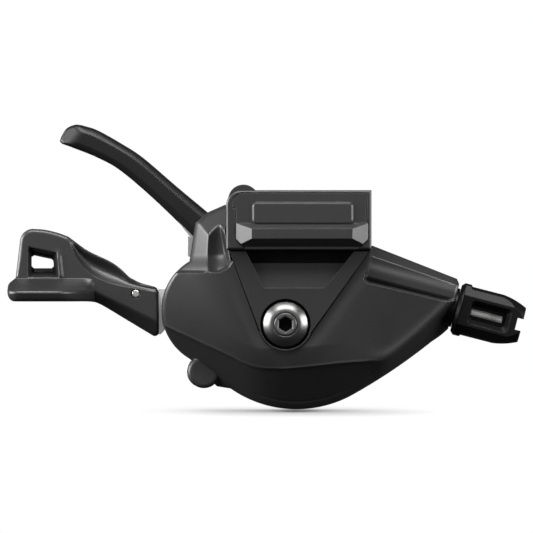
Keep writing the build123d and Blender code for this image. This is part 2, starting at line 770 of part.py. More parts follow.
def pawl_face(pin_radius, pin_angle, tip_angle):
    """Pawl from its pin to a tip that stands just clear of the teeth."""
    x, z = polar(pin_radius, pin_angle)
    step = 1 if tip_angle > pin_angle else -1
    tip = RATCHET_R + PART_GAP
    face = Pos(x, z) * Circle(PAWL_HUB_R)
    face += make_face(
        Polyline(
            polar(pin_radius + PAWL_HUB_R * 0.9, pin_angle + 2 * step),
            polar(tip + 1.6, tip_angle),
            polar(tip, tip_angle),
            polar(pin_radius - PAWL_HUB_R * 0.9, pin_angle),
            close=True,
        )
    )
    face -= Pos(x, z) * Circle(PAWL_PIN_R + RUN_CLEAR)
    return face


def make_drive_pawl():
    return slab(pawl_face(DRIVE_PIN_RADIUS, DRIVE_PIN_ANGLE, DRIVE_PIN_ANGLE + 17), pawl_back, pawl_front)


def make_holding_pawl():
    return slab(pawl_face(HOLD_PIN_RADIUS, HOLD_PIN_ANGLE, HOLD_PIN_ANGLE + 19), pawl_back, pawl_front)


def make_drive_pawl_pin():
    body = disc(drive_x, drive_z, PAWL_PIN_R, arm_back, pawl_front + SLIDE_CLEAR)
    body += disc(drive_x, drive_z, PAWL_PIN_R + 0.7, arm_front, pawl_back - SLIDE_CLEAR)
    return body


def make_pawl_axle():
    body = disc(hold_x, hold_z, PAWL_PIN_R, 0, pawl_front + SLIDE_CLEAR)
    body += disc(hold_x, hold_z, PAWL_PIN_R + 0.9, plate_front, pawl_back - SLIDE_CLEAR)
    return body


def horn_outline():
    """Front view of the release lever's horn, drawn from its pivot."""
    edges = [
        Spline((0.4, 7.5), (-6.8, 13.5), (-14.8, 20.3), (-25.5, 26.8), (-30.8, 28.15)),
        ThreePointArc((-30.8, 28.15), (-32.9, 27.1), (-34.3, 24.5)),
        ThreePointArc((-34.3, 24.5), (-34.3, 24.0), (-33.8, 23.6)),
        Spline((-33.8, 23.6), (-25.5, 20.35), (-16.1, 14.1), (-8.1, 7.0), (-3.1, 1.8)),
        Line((-3.1, 1.8), (-1.3, 0.4)),
        Line((-1.3, 0.4), (2.2, 6.0)),
        Line((2.2, 6.0), (0.4, 7.5)),
    ]
    return Pos(release_x, RELEASE_Z) * make_face(Wire(edges))


horn_front = -HORN_GAP
horn_back = horn_front - HORN_W
release_tongue = [(2.0, 3.8), (-8.9, 13.0), (-11.6, 11.8), (-3.6, 1.6)]
rivet_places = [(release_x - 4.8, RELEASE_Z + 7.4), (release_x - 8.4, RELEASE_Z + 10.8)]


def release_face():
    """Steel arm of the release lever: hub, tongue and the tail that works the pawl."""
    face = Circle(RELEASE_HUB_R)
    face += make_face(Polyline(*release_tongue, close=True))
    tail = Pos(TAIL_LENGTH / 2, 0) * SlotOverall(TAIL_LENGTH + TAIL_W, TAIL_W)
    face += Rot(0, 0, TAIL_ANGLE) * tail
    return Pos(release_x, RELEASE_Z) * face


# Lower and upper point of each station along the horn, from the pivot to past the tip
horn_stations = [
    ((-1.3, 0.4), (2.2, 6.0)),
    ((-8.1, 7.0), (-4.2, 11.35)),
    ((-16.1, 14.1), (-12.1, 18.15)),
    ((-25.5, 20.35), (-21.8, 24.9)),
    ((-35.6, 23.9), (-32.6, 28.9)),
]


def horn_section(low, top):
    """Section across the horn: flat behind, a broad bevel above and a narrow one below."""
    across = (Vector(*top) - Vector(*low)).normalized()
    trim = across * HORN_TRIM
    corners = [
        (Vector(*low) - trim, horn_back),
        (Vector(*top) + trim, horn_back),
        (Vector(*top) + trim, horn_front - HORN_BEVEL - HORN_TRIM),
        (Vector(*top) - across * HORN_BEVEL, horn_front),
        (Vector(*low) + across * HORN_UNDER_BEVEL, horn_front),
        (Vector(*low) - trim, horn_front - HORN_UNDER_BEVEL - HORN_TRIM),
    ]
    points = [spot(release_x + at.X, RELEASE_Z + at.Y, depth) for at, depth in corners]
    return make_face(Polyline(*points, close=True))


def make_release_lever():
    # The loft carries the bevels and the outline trims it
    body = loft([horn_section(low, top) for low, top in horn_stations])
    body &= slab(horn_outline(), horn_back - 1, horn_front + 1)
    body -= disc(release_x, RELEASE_Z, RELEASE_HUB_R, horn_back - 1, horn_front + 1)
    body -= slab(release_face(), release_back, release_front)
    for x, z in rivet_places:
        body -= disc(x, z, RIVET_R, horn_back + 1.5, release_front + 1)
    return body


def make_release_arm():
    body = slab(release_face(), release_back, release_front)
    body -= disc(release_x, RELEASE_Z, RELEASE_AXLE_R + RUN_CLEAR, release_back - 1, release_front + 1)
    for x, z in rivet_places:
        body -= disc(x, z, RIVET_R, release_back - 1, release_front + 1)
    return body


def make_release_rivets():
    return Compound(children=[disc(x, z, RIVET_R, horn_back + 1.5, release_front) for x, z in rivet_places])


release_head = release_back - RELEASE_SPRING_ROOM


def make_release_axle():
    top = plate_front + RIVET_HEAD_H
    collar = RELEASE_AXLE_R + RIVET_HEAD
    body = disc(release_x, RELEASE_Z, RELEASE_AXLE_R, release_head - RIVET_HEAD_H, top)
    body += disc(release_x, RELEASE_Z, RELEASE_HUB_R - 0.6, release_head - RIVET_HEAD_H, release_head)
    body += disc(release_x, RELEASE_Z, collar, plate_front, top)
    body += disc(release_x, RELEASE_Z, collar, release_front + SLIDE_CLEAR, 0)
    return body


def half_turns(radius, count):
    """Spiral of half circles, each wider than the last, drawn from the +X side."""
    arcs = []
    for i in range(count):
        side = (-1) ** i
        middle = SPRING_PITCH / 2 * (i % 2)
        r = radius + SPRING_PITCH / 2 * i
        arcs.append(ThreePointArc((middle + side * r, 0), (middle, side * r), (middle - side * r, 0)))
    return arcs


def spiral(x, z, inner, halves, back, front):
    """Flat spiral spring round an axle, between two depths."""
    inside = half_turns(inner, halves)
    outside = half_turns(inner + SPRING_BAND, halves)
    ends = [Line(inside[-1] @ 1, outside[-1] @ 1), Line(outside[0] @ 0, inside[0] @ 0)]
    return slab(Pos(x, z) * make_face(Wire(inside + outside + ends)), back, front)


def make_lever_spring():
    return spiral(0, 0, bush_r + SLIDE_CLEAR, 6, plate_front + 0.6 + SLIDE_CLEAR, arm_back - SLIDE_CLEAR)


def make_drum_spring():
    inner = AXLE_R + RUN_CLEAR + SLEEVE_WALL + SLIDE_CLEAR
    return spiral(0, 0, inner, 7, drum_front + SLIDE_CLEAR, wall_back - SLIDE_CLEAR)


def make_release_spring():
    inner = RELEASE_AXLE_R + SLIDE_CLEAR
    back = release_head + SLIDE_CLEAR
    return spiral(release_x, RELEASE_Z, inner, 4, back, release_back - SLIDE_CLEAR)


block_x = -AXLE_X
block_z = -AXLE_Z
cavity_w = BRACKET_W - 2 * BRACKET_SIDE
cavity_h = BRACKET_H - 2 * BRACKET_FLOOR
nut_flange_h = cavity_h - 2 * SLIDE_CLEAR


lip_back = BRACKET_FRONT - COVER_LIP_T
bar_left = bracket_left + RIM_BAR_LEFT
bar_right = bracket_right - RIM_BAR_RIGHT
bar_top = block_z - 0.75


def cover_outline():
    """Front view of the bracket's cover, which reaches the bottom edge of the block."""
    low = ledge_z + 0.1
    left = bracket_left + RIM_LEFT
    right = bracket_right - RIM_RIGHT
    top = block_z + BRACKET_H / 2 - RIM_TOP
    round_off = BRACKET_CORNER_R - RIM_TOP
    bend = round_off * (1 - math.sqrt(0.5))
    step = top - BRACKET_CORNER_R
    edges = [
        Line((bar_left + BAR_CORNER, low), (bar_right - BAR_CORNER, low)),
        Line((bar_right - BAR_CORNER, low), (bar_right, low + BAR_CORNER)),
        Line((bar_right, low + BAR_CORNER), (bar_right, bar_top)),
        Line((bar_right, bar_top), (right, bar_top + RIM_BAR_RIGHT)),
        Line((right, bar_top + RIM_BAR_RIGHT), (right, top)),
        Line((right, top), (left + round_off, top)),
        ThreePointArc((left + round_off, top), (left + bend, top - bend), (left, top - round_off)),
        Line((left, top - round_off), (left, step)),
        Line((left, step), (bar_left, step)),
        Line((bar_left, step), (bar_left, low + BAR_CORNER)),
        Line((bar_left, low + BAR_CORNER), (bar_left + BAR_CORNER, low)),
    ]
    return make_face(Wire(edges))


def make_mount_bracket():
    block = Pos(block_x, block_z) * Rectangle(BRACKET_W, BRACKET_H)
    top_left = block.vertices().sort_by(Axis.X)[:2].sort_by(Axis.Y)[-1]
    block = fillet(top_left, BRACKET_CORNER_R)
    body = slab(block, bracket_back, BRACKET_FRONT)
    body = fillet(body.faces().sort_by(Axis.Y)[0].edges(), BRACKET_EDGE_R)
    # Rebate for the cover, open at the bottom
    seat = offset(cover_outline(), SLIDE_CLEAR)
    seat += Pos(block_x, ledge_z) * Rectangle(bar_right - bar_left - 2 * BAR_CORNER, 1.0)
    body -= slab(seat, lip_back, BRACKET_FRONT + 1)
    # Round boss behind the block, for the clamp's own locating pin
    body += disc(block_x + BUMP_X, block_z + BUMP_Z, BUMP_R, bracket_back, bracket_back + BUMP_W)
    cavity = Pos(block_x, block_z) * Rectangle(cavity_w, cavity_h)
    body -= slab(cavity, bracket_back + BRACKET_BACK, BRACKET_FRONT + 1)
    slot_r = NUT_NECK_R + SLIDE_CLEAR
    slot = Pos(block_x, block_z) * SlotOverall(2 * (slot_r + NUT_TRAVEL + PART_GAP), 2 * slot_r)
    body -= slab(slot, bracket_back - 1, bracket_back + BRACKET_BACK + 1)
    for x in bracket_screw_xs:
        clear = BRACKET_SCREW_R + SCREW_CLEAR
        body -= bracket_screw_bar(x, clear, ledge_z - 1, ledge_z + BRACKET_FLOOR + 1)
    return body


nut_front = bracket_back + BRACKET_BACK + SLIDE_CLEAR + NUT_FLANGE_T


def make_bracket_nut():
    back = bracket_back + BRACKET_BACK + SLIDE_CLEAR
    body = slab(Pos(block_x, block_z) * Rectangle(NUT_FLANGE_W, nut_flange_h), back, nut_front)
    body += disc(block_x, block_z, NUT_NECK_R, bracket_back, back)
    body -= disc(block_x, block_z, THREAD_R, bracket_back - 1, nut_front + 1)
    return body


def make_bracket_cover():
    front = BRACKET_FRONT
    body = slab(cover_outline(), lip_back, front)
    plug = Pos(block_x, block_z) * Rectangle(cavity_w - 2 * SLIDE_CLEAR, cavity_h - 2 * SLIDE_CLEAR)
    plug_inner = Pos(block_x, block_z) * Rectangle(cavity_w - 4, cavity_h - 3)
    body += slab(plug - plug_inner, lip_back - 3.0, lip_back)
    # Raised panel above, with bevelled edges
    panel = RectangleRounded(PANEL_W, PANEL_H, PANEL_CORNER_R)
    panel = slab(Pos(block_x + 0.9, bar_top - 0.3 + PANEL_H / 2) * panel, front, front + PANEL_PROUD)
    body += chamfer(panel.faces().sort_by(Axis.Y)[0].edges(), PANEL_BEVEL)
    # Proud bar below, bevelled above, below and at both ends
    bar_front = front + BAR_PROUD
    bar_section = [
        (bar_top, front),
        (bar_top - 1.3, bar_front),
        (bar_top - 3.6, bar_front),
        (ledge_z + 0.1, front - 1.0),
    ]
    points = [spot(bar_left, z, d) for z, d in bar_section]
    bar = extrude(make_face(Polyline(*points, close=True)), amount=bar_right - bar_left, dir=(1, 0, 0))
    for edge, step in ((bar_left, BAR_END_BEVEL), (bar_right, -BAR_END_BEVEL)):
        inner = (edge + step, bar_top, bar_front)
        bar -= in_front_of((edge, bar_top, front), (edge, ledge_z, front), inner)
    body += bar & slab(cover_outline(), front - 1.0, bar_front + 1)
    # Tongue that keeps the sliding nut against the back wall
    tongue_front = nut_front + SLIDE_CLEAR
    upper = Pos(block_x, block_z + cavity_h / 2 - SLIDE_CLEAR - 0.75) * Rectangle(cavity_w - 4.4, 1.5)
    body += slab(upper, tongue_front, lip_back)
    return body


def make_bracket_screws():
    group = []
    floor_z = ledge_z + BRACKET_FLOOR
    for x in bracket_screw_xs:
        screw = bracket_screw_bar(x, BRACKET_SCREW_R, screw_tip_z, floor_z)
        screw += bracket_screw_bar(x, BRACKET_SCREW_HEAD_R, floor_z, floor_z + BRACKET_SCREW_HEAD_H)
        seat = spot(x, floor_z + BRACKET_SCREW_HEAD_H - 1.2, bracket_screw_depth)
        base = Plane(origin=seat, x_dir=(1, 0, 0), z_dir=(0, 0, 1))
        screw -= extrude(base * RegularPolygon(1.25, 6, major_radius=False), amount=3)
        group.append(screw)
    return Compound(children=group)


flange_start = COLLAR_OUT
barrel_end = flange_start + BARREL_LENGTH


def make_adjuster_collar():
    start = -COLLAR_INSIDE
    inner = STEM_R + RUN_CLEAR * 2
    return rod(COLLAR_R, start, flange_start - SLIDE_CLEAR) - rod(inner, start - 1, flange_start + 1)


def make_adjuster_barrel():
    s = flange_start
    plane = along_cable(0)

    def on_axis(r, t):
        return plane.from_local_coords(Vector(0, r, t))

    bulge = s + BARREL_LENGTH * 0.64
    flange_end = s + FLANGE_W
    edges = [
        Line(on_axis(0, s), on_axis(FLANGE_R - FLANGE_BEVEL, s)),
        Line(on_axis(FLANGE_R - FLANGE_BEVEL, s), on_axis(FLANGE_R, s + FLANGE_BEVEL)),
        Line(on_axis(FLANGE_R, s + FLANGE_BEVEL), on_axis(FLANGE_R, flange_end)),
        Line(on_axis(FLANGE_R, flange_end), on_axis(BARREL_R, flange_end + 0.3)),
        Line(on_axis(BARREL_R, flange_end + 0.3), on_axis(BARREL_R, bulge)),
        ThreePointArc(
            on_axis(BARREL_R, bulge),
            on_axis(BARREL_R * 0.66 + BARREL_END_R * 0.34, (bulge + barrel_end) / 2),
            on_axis(BARREL_END_R, barrel_end),
        ),
        Line(on_axis(BARREL_END_R, barrel_end), on_axis(0, barrel_end)),
        Line(on_axis(0, barrel_end), on_axis(0, s)),
    ]
    body = revolve(make_face(Wire(edges)), axis=Axis(plane.origin, plane.z_dir))
    # Flats towards the viewer and the back, with bevels above and below them
    half, high = FLAT_H / 2, FLANGE_R + 0.2
    quarter = [(FLAT_OFF, half), (FLAT_SIDE, high)]
    ring = quarter + [(-x, y) for x, y in quarter[::-1]]
    ring += [(-x, -y) for x, y in ring]
    ring = along_cable(s + FLAT_START) * make_face(Polyline(*ring, close=True))
    body &= extrude(ring, amount=BARREL_LENGTH) + rod(FLANGE_R + 1, s - 1, s + FLAT_START)

    def rim(start, end, height, out):
        place = Pos(out, 0, s + (start + end) / 2) * Rot(0, 90, 0)
        return plane * place * RectangleRounded(end - start, height, 0.9)

    # Window in the front flat, with sloped sides and a floor behind the guide tube
    inner = FLAT_OFF - WINDOW_SLOPE
    throat = rim(THROAT_START, THROAT_END, THROAT_H, inner)
    body -= loft([rim(WINDOW_START, WINDOW_END, WINDOW_H, FLAT_OFF), throat])
    body -= extrude(throat, amount=-(inner + WINDOW_FLOOR))
    body += rod(STEM_R, -STEM_LENGTH, s)
    slot = Pos(0, 0, barrel_end) * Box(40, END_SLOT_W, 2 * END_SLOT_D)
    body -= plane * slot
    body -= rod(SOCKET_R, barrel_end - SOCKET_DEPTH, barrel_end + 1)
    body -= rod(TUBE_R + SCREW_CLEAR, -STEM_LENGTH - 1, barrel_end)
    return body


def make_guide_tube():
    end = flange_start + THROAT_END + THREAD_TRAVEL_IN
    return rod(TUBE_R, -(STEM_LENGTH + 6.0), end - 1.0) - rod(TUBE_R - 0.3, -(STEM_LENGTH + 7.0), end)


nodes = {
    "front_cover": make_front_cover,
    "shield_plate": make_shield_plate,
    "dome_washer": make_dome_washer,
    "axle_bolt": make_axle_bolt,
    "main_axle": make_main_axle,
    "axle_nut": make_axle_nut,
    "base_plate": make_base_plate,
    "rear_cover": make_rear_cover,
    "cover_screws": make_cover_screws,
    "spacer_sleeve": make_spacer_sleeve,
    "cable_drum": make_cable_drum,
    "ratchet_wheel": make_ratchet_wheel,
    "drum_bush": make_drum_bush,
    "lever_arm": make_lever_arm,
    "lever_bush": make_lever_bush,
    "main_lever": make_main_lever,
    "lever_pin": make_lever_pin,
    "drive_pawl": make_drive_pawl,
    "drive_pawl_pin": make_drive_pawl_pin,
    "holding_pawl": make_holding_pawl,
    "pawl_axle": make_pawl_axle,
    "release_lever": make_release_lever,
    "release_arm": make_release_arm,
    "release_rivets": make_release_rivets,
    "release_axle": make_release_axle,
    "lever_spring": make_lever_spring,
    "drum_spring": make_drum_spring,
    "release_spring": make_release_spring,
    "mount_bracket": make_mount_bracket,
    "bracket_nut": make_bracket_nut,
    "bracket_cover": make_bracket_cover,
    "bracket_screws": make_bracket_screws,
    "adjuster_collar": make_adjuster_collar,
    "adjuster_barrel": make_adjuster_barrel,
    "guide_tube": make_guide_tube,
}

os.makedirs("parts", exist_ok=True)
for name, make in nodes.items():
    solid = make()
    export_step(solid, f"parts/{name}.step")
    box = solid.bounding_box()
    print(name, len(solid.solids()), round(solid.volume, 1), [round(v, 1) for v in (*box.min, *box.max)])
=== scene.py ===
# %% [markdown]
# # A trigger gear shifter, dressed for a studio picture
#
# A trigger shifter sits beside a bicycle's brake lever. Its thumb lever winds up the gear
# cable step by step, and the curved release lever behind it lets the cable go again.
#
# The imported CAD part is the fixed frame: every solid is already in its place, in metres.
# This lesson gives each solid its finish, and swaps the big mouldings for smoother skins
# that numpy works out. X runs right, Z runs up, and Y runs away from the camera.

# %% Load the frame
import json
import math

import bmesh
import bpy
import numpy as np
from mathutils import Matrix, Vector


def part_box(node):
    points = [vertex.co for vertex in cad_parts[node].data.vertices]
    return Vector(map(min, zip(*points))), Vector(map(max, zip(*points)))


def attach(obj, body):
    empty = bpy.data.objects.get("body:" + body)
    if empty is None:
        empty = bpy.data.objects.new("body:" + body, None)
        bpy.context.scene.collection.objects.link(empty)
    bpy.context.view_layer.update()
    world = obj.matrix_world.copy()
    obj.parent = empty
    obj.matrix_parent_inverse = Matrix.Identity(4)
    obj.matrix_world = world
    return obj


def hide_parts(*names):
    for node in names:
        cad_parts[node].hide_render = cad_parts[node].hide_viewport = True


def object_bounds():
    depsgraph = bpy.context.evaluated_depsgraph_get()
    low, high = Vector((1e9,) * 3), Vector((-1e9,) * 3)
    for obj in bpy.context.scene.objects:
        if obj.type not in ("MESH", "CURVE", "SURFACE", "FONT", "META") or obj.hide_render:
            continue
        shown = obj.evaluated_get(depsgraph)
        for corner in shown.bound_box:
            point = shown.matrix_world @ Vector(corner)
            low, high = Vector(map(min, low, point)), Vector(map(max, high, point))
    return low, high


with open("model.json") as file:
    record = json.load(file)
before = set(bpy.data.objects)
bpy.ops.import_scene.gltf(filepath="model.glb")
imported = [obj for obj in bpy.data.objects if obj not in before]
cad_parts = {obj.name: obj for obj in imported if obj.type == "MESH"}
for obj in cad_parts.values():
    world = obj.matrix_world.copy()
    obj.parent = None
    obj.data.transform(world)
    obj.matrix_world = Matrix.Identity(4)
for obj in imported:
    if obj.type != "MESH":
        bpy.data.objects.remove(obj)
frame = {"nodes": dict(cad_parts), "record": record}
nodes = frame["nodes"]
cad_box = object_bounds()

# %% [markdown]
# ## Measures
#
# On the real shifter the thumb lever and the drum turn about one axle, so the part is drawn
# from it, and the lesson does the same. A point is given as (x, z) from the axle and a depth
# that counts from the base plate towards the camera, all in millimetres. That keeps the
# numbers small and lets a depth be a plain function of (x, z).

# %% Measures
MM = 0.001
AXLE_X, AXLE_Z, SETBACK = -3.1, -24.2, 7.0


def place(x, z, depth):
    """World metres of axle points: add the axle's place, and count depth against Y."""
    x, z, depth = np.broadcast_arrays(x, z, depth)
    return np.stack([AXLE_X + x, -(SETBACK + depth), AXLE_Z + z], axis=-1) * MM


def depth_range(node):
    """Lowest and highest depth of a solid, from the Y limits of its box."""
    low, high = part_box(node)
    return -high[1] / MM - SETBACK, -low[1] / MM - SETBACK


print("axle at", place(0.0, 0.0, 0.0))

# %% [markdown]
# ## Finishes
#
# A black product is mostly seen by how its blacks differ, so each finish starts from the
# real material: filled nylon is dull and grained, paint lies smoother, steel glints. One
# function turns an sRGB hex value to linear colour, and one adds a shader node, sets its
# values and links its inputs.

# %% Node helpers
def hex_linear(code):
    """Linear RGBA of an sRGB hex colour, by the sRGB curve: a straight foot, then a 2.4 power."""
    c = np.array([int(code[i : i + 2], 16) for i in (1, 3, 5)]) / 255.0
    c = np.where(c <= 0.04045, c / 12.92, ((c + 0.055) / 1.055) ** 2.4)
    return (*c.tolist(), 1.0)


def add(tree, kind, settings=None, inputs=None, links=None):
    """Add one shader node, set its properties and input values, and link other outputs in."""
    node = tree.nodes.new(kind)
    for key, value in (settings or {}).items():
        setattr(node, key, value)
    for key, value in (inputs or {}).items():
        node.inputs[key].default_value = value
    for key, socket in (links or {}).items():
        tree.links.new(socket, node.inputs[key])
    return node


print("mid grey is", round(hex_linear("#808080")[0], 3), "in linear light")

# %% [markdown]
# A moulded or painted surface is never one flat colour. A fine noise gives its grain, and a
# broad one lets its gloss drift from place to place, as handling and the mould leave it.
# Both are measured in the object's own millimetres. The real grain of a mould or of paint is
# about a tenth of a millimetre, too fine to show here, so it is drawn a few times coarser.

# %% One finish
CLOUD_MM = 9.0
GLOSS_DRIFT = 0.06
GRAIN_STRENGTH = 0.6


def new_tree(name):
    """A new material of that name, and its empty node tree."""
    mat = bpy.data.materials.new(name)
    mat.use_nodes = True
    mat.node_tree.nodes.clear()
    return mat, mat.node_tree


def finish(
    name, dark, light, rough, metallic=0.0, gleam=0.5, grain_mm=0.35, grain=0.02, edge_mm=0.2
):
    """A finish from two noises.

    The fine one, grain_mm wide and grain high, mixes the two tones and lifts the grain. The
    broad one moves the roughness by GLOSS_DRIFT to either side. Edges are rounded over
    edge_mm before the grain is laid on, and gleam sets how strongly the surface mirrors.
    """
    mat, tree = new_tree(name)
    where = add(tree, "ShaderNodeTexCoord").outputs["Object"]
    cloud = add(
        tree,
        "ShaderNodeTexNoise",
        inputs={"Scale": 1 / (CLOUD_MM * MM), "Detail": 3.0},
        links={"Vector": where},
    )
    speck = add(
        tree,
        "ShaderNodeTexNoise",
        inputs={"Scale": 1 / (grain_mm * MM), "Detail": 2.0, "Roughness": 0.6},
        links={"Vector": where},
    )
    tone = add(
        tree,
        "ShaderNodeMix",
        {"data_type": "RGBA"},
        {"A": hex_linear(dark), "B": hex_linear(light)},
        {"Factor": speck.outputs["Fac"]},
    )
    gloss = add(
        tree,
        "ShaderNodeMapRange",
        inputs={"To Min": rough - GLOSS_DRIFT, "To Max": rough + GLOSS_DRIFT},
        links={"Value": cloud.outputs["Fac"]},
    )
    round_edge = add(tree, "ShaderNodeBevel", {"samples": 6}, {"Radius": edge_mm * MM})
    bump = add(
        tree,
        "ShaderNodeBump",
        inputs={"Strength": GRAIN_STRENGTH, "Distance": grain * MM},
        links={"Height": speck.outputs["Fac"], "Normal": round_edge.outputs["Normal"]},
    )
    shader = add(
        tree,
        "ShaderNodeBsdfPrincipled",
        inputs={"Metallic": metallic, "Specular IOR Level": gleam},
        links={
            "Base Color": tone.outputs["Result"],
            "Roughness": gloss.outputs["Result"],
            "Normal": bump.outputs["Normal"],
        },
    )
    add(tree, "ShaderNodeOutputMaterial", links={"Surface": shader.outputs["BSDF"]})
    return mat


print("gloss drifts by", GLOSS_DRIFT, "over about", CLOUD_MM, "mm")

# %% [markdown]
# Most of the shifter is nylon, moulded in steel tools. Glass fibres make it stiff, and dull
# where the tool was sparked, while a smoother tool leaves a deeper black. The blacks of the
# pieces differ, so each kind has a finish of its own.

# %% Nylon
# Glass-filled nylon: a broad dull sheen and a fine grain from the sparked mould
nylon = finish("glass_filled_nylon_black", "#171717", "#212121", 0.43, grain_mm=0.5, grain=0.016)
# Unfilled nylon: darker and smoother, so that a ridge shows as a soft line
smooth_nylon = finish(
    "smooth_nylon_black", "#0b0b0b", "#111111", 0.40, grain=0.002, edge_mm=0.02, gleam=0.3
)
# Nylon of the small parts at the cable: nearly black, with light on its edges alone. On the collar
# between boss and barrel, the near-black is painted shade.
dark_nylon_and_collar_shade = finish(
    "dark_nylon_black_and_collar_shade", "#050505", "#0a0a0a", 0.38, grain=0.004, edge_mm=0.3, gleam=0.15
)
# Painted shade: a near-black, dull nylon for the floor of the recess under the plate, so that the
# thin gap beside the plate reads as a dark line
recess_shade_nylon = finish("nylon_black_painted_recess_shade", "#030303", "#060606", 0.7, grain=0.004, gleam=0.08)
print("nylons", [mat.name for mat in (nylon, smooth_nylon, dark_nylon_and_collar_shade, recess_shade_nylon)])

# %% [markdown]
# The metal pieces are painted, anodised, plated or left bright. Paint hides the metal, so it is
# shaded like plastic. Anodising and blackening let some of the metal through, and turned, rolled or
# sintered metal is shaded as metal all the way. The tube and the zinc are shaded mostly as a pale
# coat, a painted reflection, because a pure metal would only mirror the dark walls beside them.

# %% Paint and metal
# Eggshell paint on the flat plate: even and quiet
plate_paint = finish("eggshell_paint_black", "#171717", "#212121", 0.43, grain=0.008, gleam=0.38)
# Satin paint on the cast lever: a clearer highlight than the plate's
paint = finish(
    "satin_paint_black", "#191919", "#242424", 0.40, grain=0.008, grain_mm=0.3, gleam=0.55
)
# Anodised aluminium: a grey metal sheen under the black
anodised = finish(
    "anodised_aluminium_black", "#1a1a1a", "#262626", 0.42, metallic=0.4, grain=0.006, gleam=0.8
)
# Turned steel: grey, with white spots where it faces a lamp
bright = finish(
    "turned_steel_bright", "#646463", "#727271", 0.33, metallic=1.0, grain=0.004, edge_mm=0.1
)
# Drawn tube: a near-white, mostly dull coat that reads as a light bar between dark walls, a painted
# reflection in place of the steel's mirror
tube_painted_reflection = finish(
    "drawn_steel_tube_painted_reflection", "#f4f4f2", "#fcfcfa", 0.34, metallic=0.12, grain=0.003, edge_mm=0.1
)
# Zinc plating: a pale even edge between two blacks, its pale, mostly dull coat partly a painted
# reflection
zinc_and_painted_sheen = finish(
    "zinc_plated_steel_and_painted_reflection", "#c9c9c7", "#d6d6d4", 0.36, metallic=0.3, grain=0.006, edge_mm=0.12
)
# Rolled and plated steel: grey, with bright edges
steel = finish(
    "rolled_steel_plated", "#a7a8a6", "#c4c4c1", 0.34, metallic=1.0, grain=0.008, edge_mm=0.12
)
# Blackened steel: dark, with a metal glint on its rim
blackened = finish(
    "blackened_steel", "#3f3f3f", "#4b4b4b", 0.26, metallic=0.5, grain=0.004, edge_mm=0.06
)
# Painted shade: near-black steel for the floor of the hexagon socket, so that the deep socket reads
# dark
socket_shade_black = finish("steel_socket_painted_shade", "#050505", "#090909", 0.6, grain=0.004, gleam=0.1)
# Painted shade: a near-black ring that mirrors almost nothing, laid in the plate's groove so that
# the groove round the washer reads dark
groove_shade_black = finish("groove_painted_shade_black", "#020202", "#050505", 0.8, grain=0.004, gleam=0.04)
# Acetal: the plain grey of a moulded drum
acetal = finish("acetal_grey", "#6d6e6f", "#7b7c7d", 0.5)
# Sintered bronze: warm and slightly rough
bronze = finish("sintered_bronze", "#8f6b3d", "#a98450", 0.45, metallic=1.0)
print("materials in the file", len(bpy.data.materials))

# %% [markdown]
# ## Finishes on the solids
#
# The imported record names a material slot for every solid, so the finish follows the slot. A
# few solids share a slot but not a look, and these are named one by one.

# %% Finishes on the solids
slot_finish = {
    "moulded_black": nylon,
    "moulded_grey": acetal,
    "painted_black": paint,
    "anodised_black": anodised,
    "steel": steel,
    "bright_steel": bright,
    "dark_steel": blackened,
    "bronze": bronze,
}
node_finish = {
    # The collar's near-black stands in for the shade between the boss and the barrel
    "adjuster_barrel": dark_nylon_and_collar_shade,
    "adjuster_collar": dark_nylon_and_collar_shade,
    # The tube's near-white coat is a painted reflection
    "guide_tube": tube_painted_reflection,
    "lever_arm": zinc_and_painted_sheen,
    "shield_plate": plate_paint,
}
for part in frame["record"]["subparts"]:
    solid = nodes[part["node"]]
    solid.data.materials.clear()
    solid.data.materials.append(node_finish.get(part["node"], slot_finish[part["material_slot"]]))

# %% [markdown]
# ## Outlines
#
# A moulding starts as an outline in the front view, as a designer would draw it: arcs where
# the real edge is round, a smooth run through a few points where it sweeps. Every run is
# spread evenly, so that the surface on it has evenly spaced columns.

# %% Outline tools
FULL_TURN = 2 * math.pi


def arc(a, m, b, count=24):
    """Points of the arc from a through m to b, without b.

    The centre is as far from a as from m and from b, which gives two linear equations.
    """
    (ax, az), (mx, mz), (bx, bz) = a, m, b
    d = 2 * (ax * (mz - bz) + mx * (bz - az) + bx * (az - mz))
    ra, rm, rb = ax * ax + az * az, mx * mx + mz * mz, bx * bx + bz * bz
    cx = (ra * (mz - bz) + rm * (bz - az) + rb * (az - mz)) / d
    cz = (ra * (bx - mx) + rm * (ax - bx) + rb * (mx - ax)) / d
    start = math.atan2(az - cz, ax - cx)
    to_mid = (math.atan2(mz - cz, mx - cx) - start) % FULL_TURN
    to_end = (math.atan2(bz - cz, bx - cx) - start) % FULL_TURN
    sweep = to_end if to_mid < to_end else to_end - FULL_TURN
    turn = start + sweep * np.arange(count) / count
    radius = math.hypot(ax - cx, az - cz)
    return np.stack([cx + radius * np.cos(turn), cz + radius * np.sin(turn)], axis=1)


def spread(points, count):
    """A run of points spread evenly along its length, without its last point.

    Each new point lies on the straight piece that its share of the length falls on.
    """
    points = np.asarray(points, float)
    run = np.concatenate([[0.0], np.cumsum(np.hypot(*np.diff(points, axis=0).T))])
    s = np.linspace(0.0, run[-1], count, endpoint=False)
    return np.stack([np.interp(s, run, points[:, 0]), np.interp(s, run, points[:, 1])], axis=1)


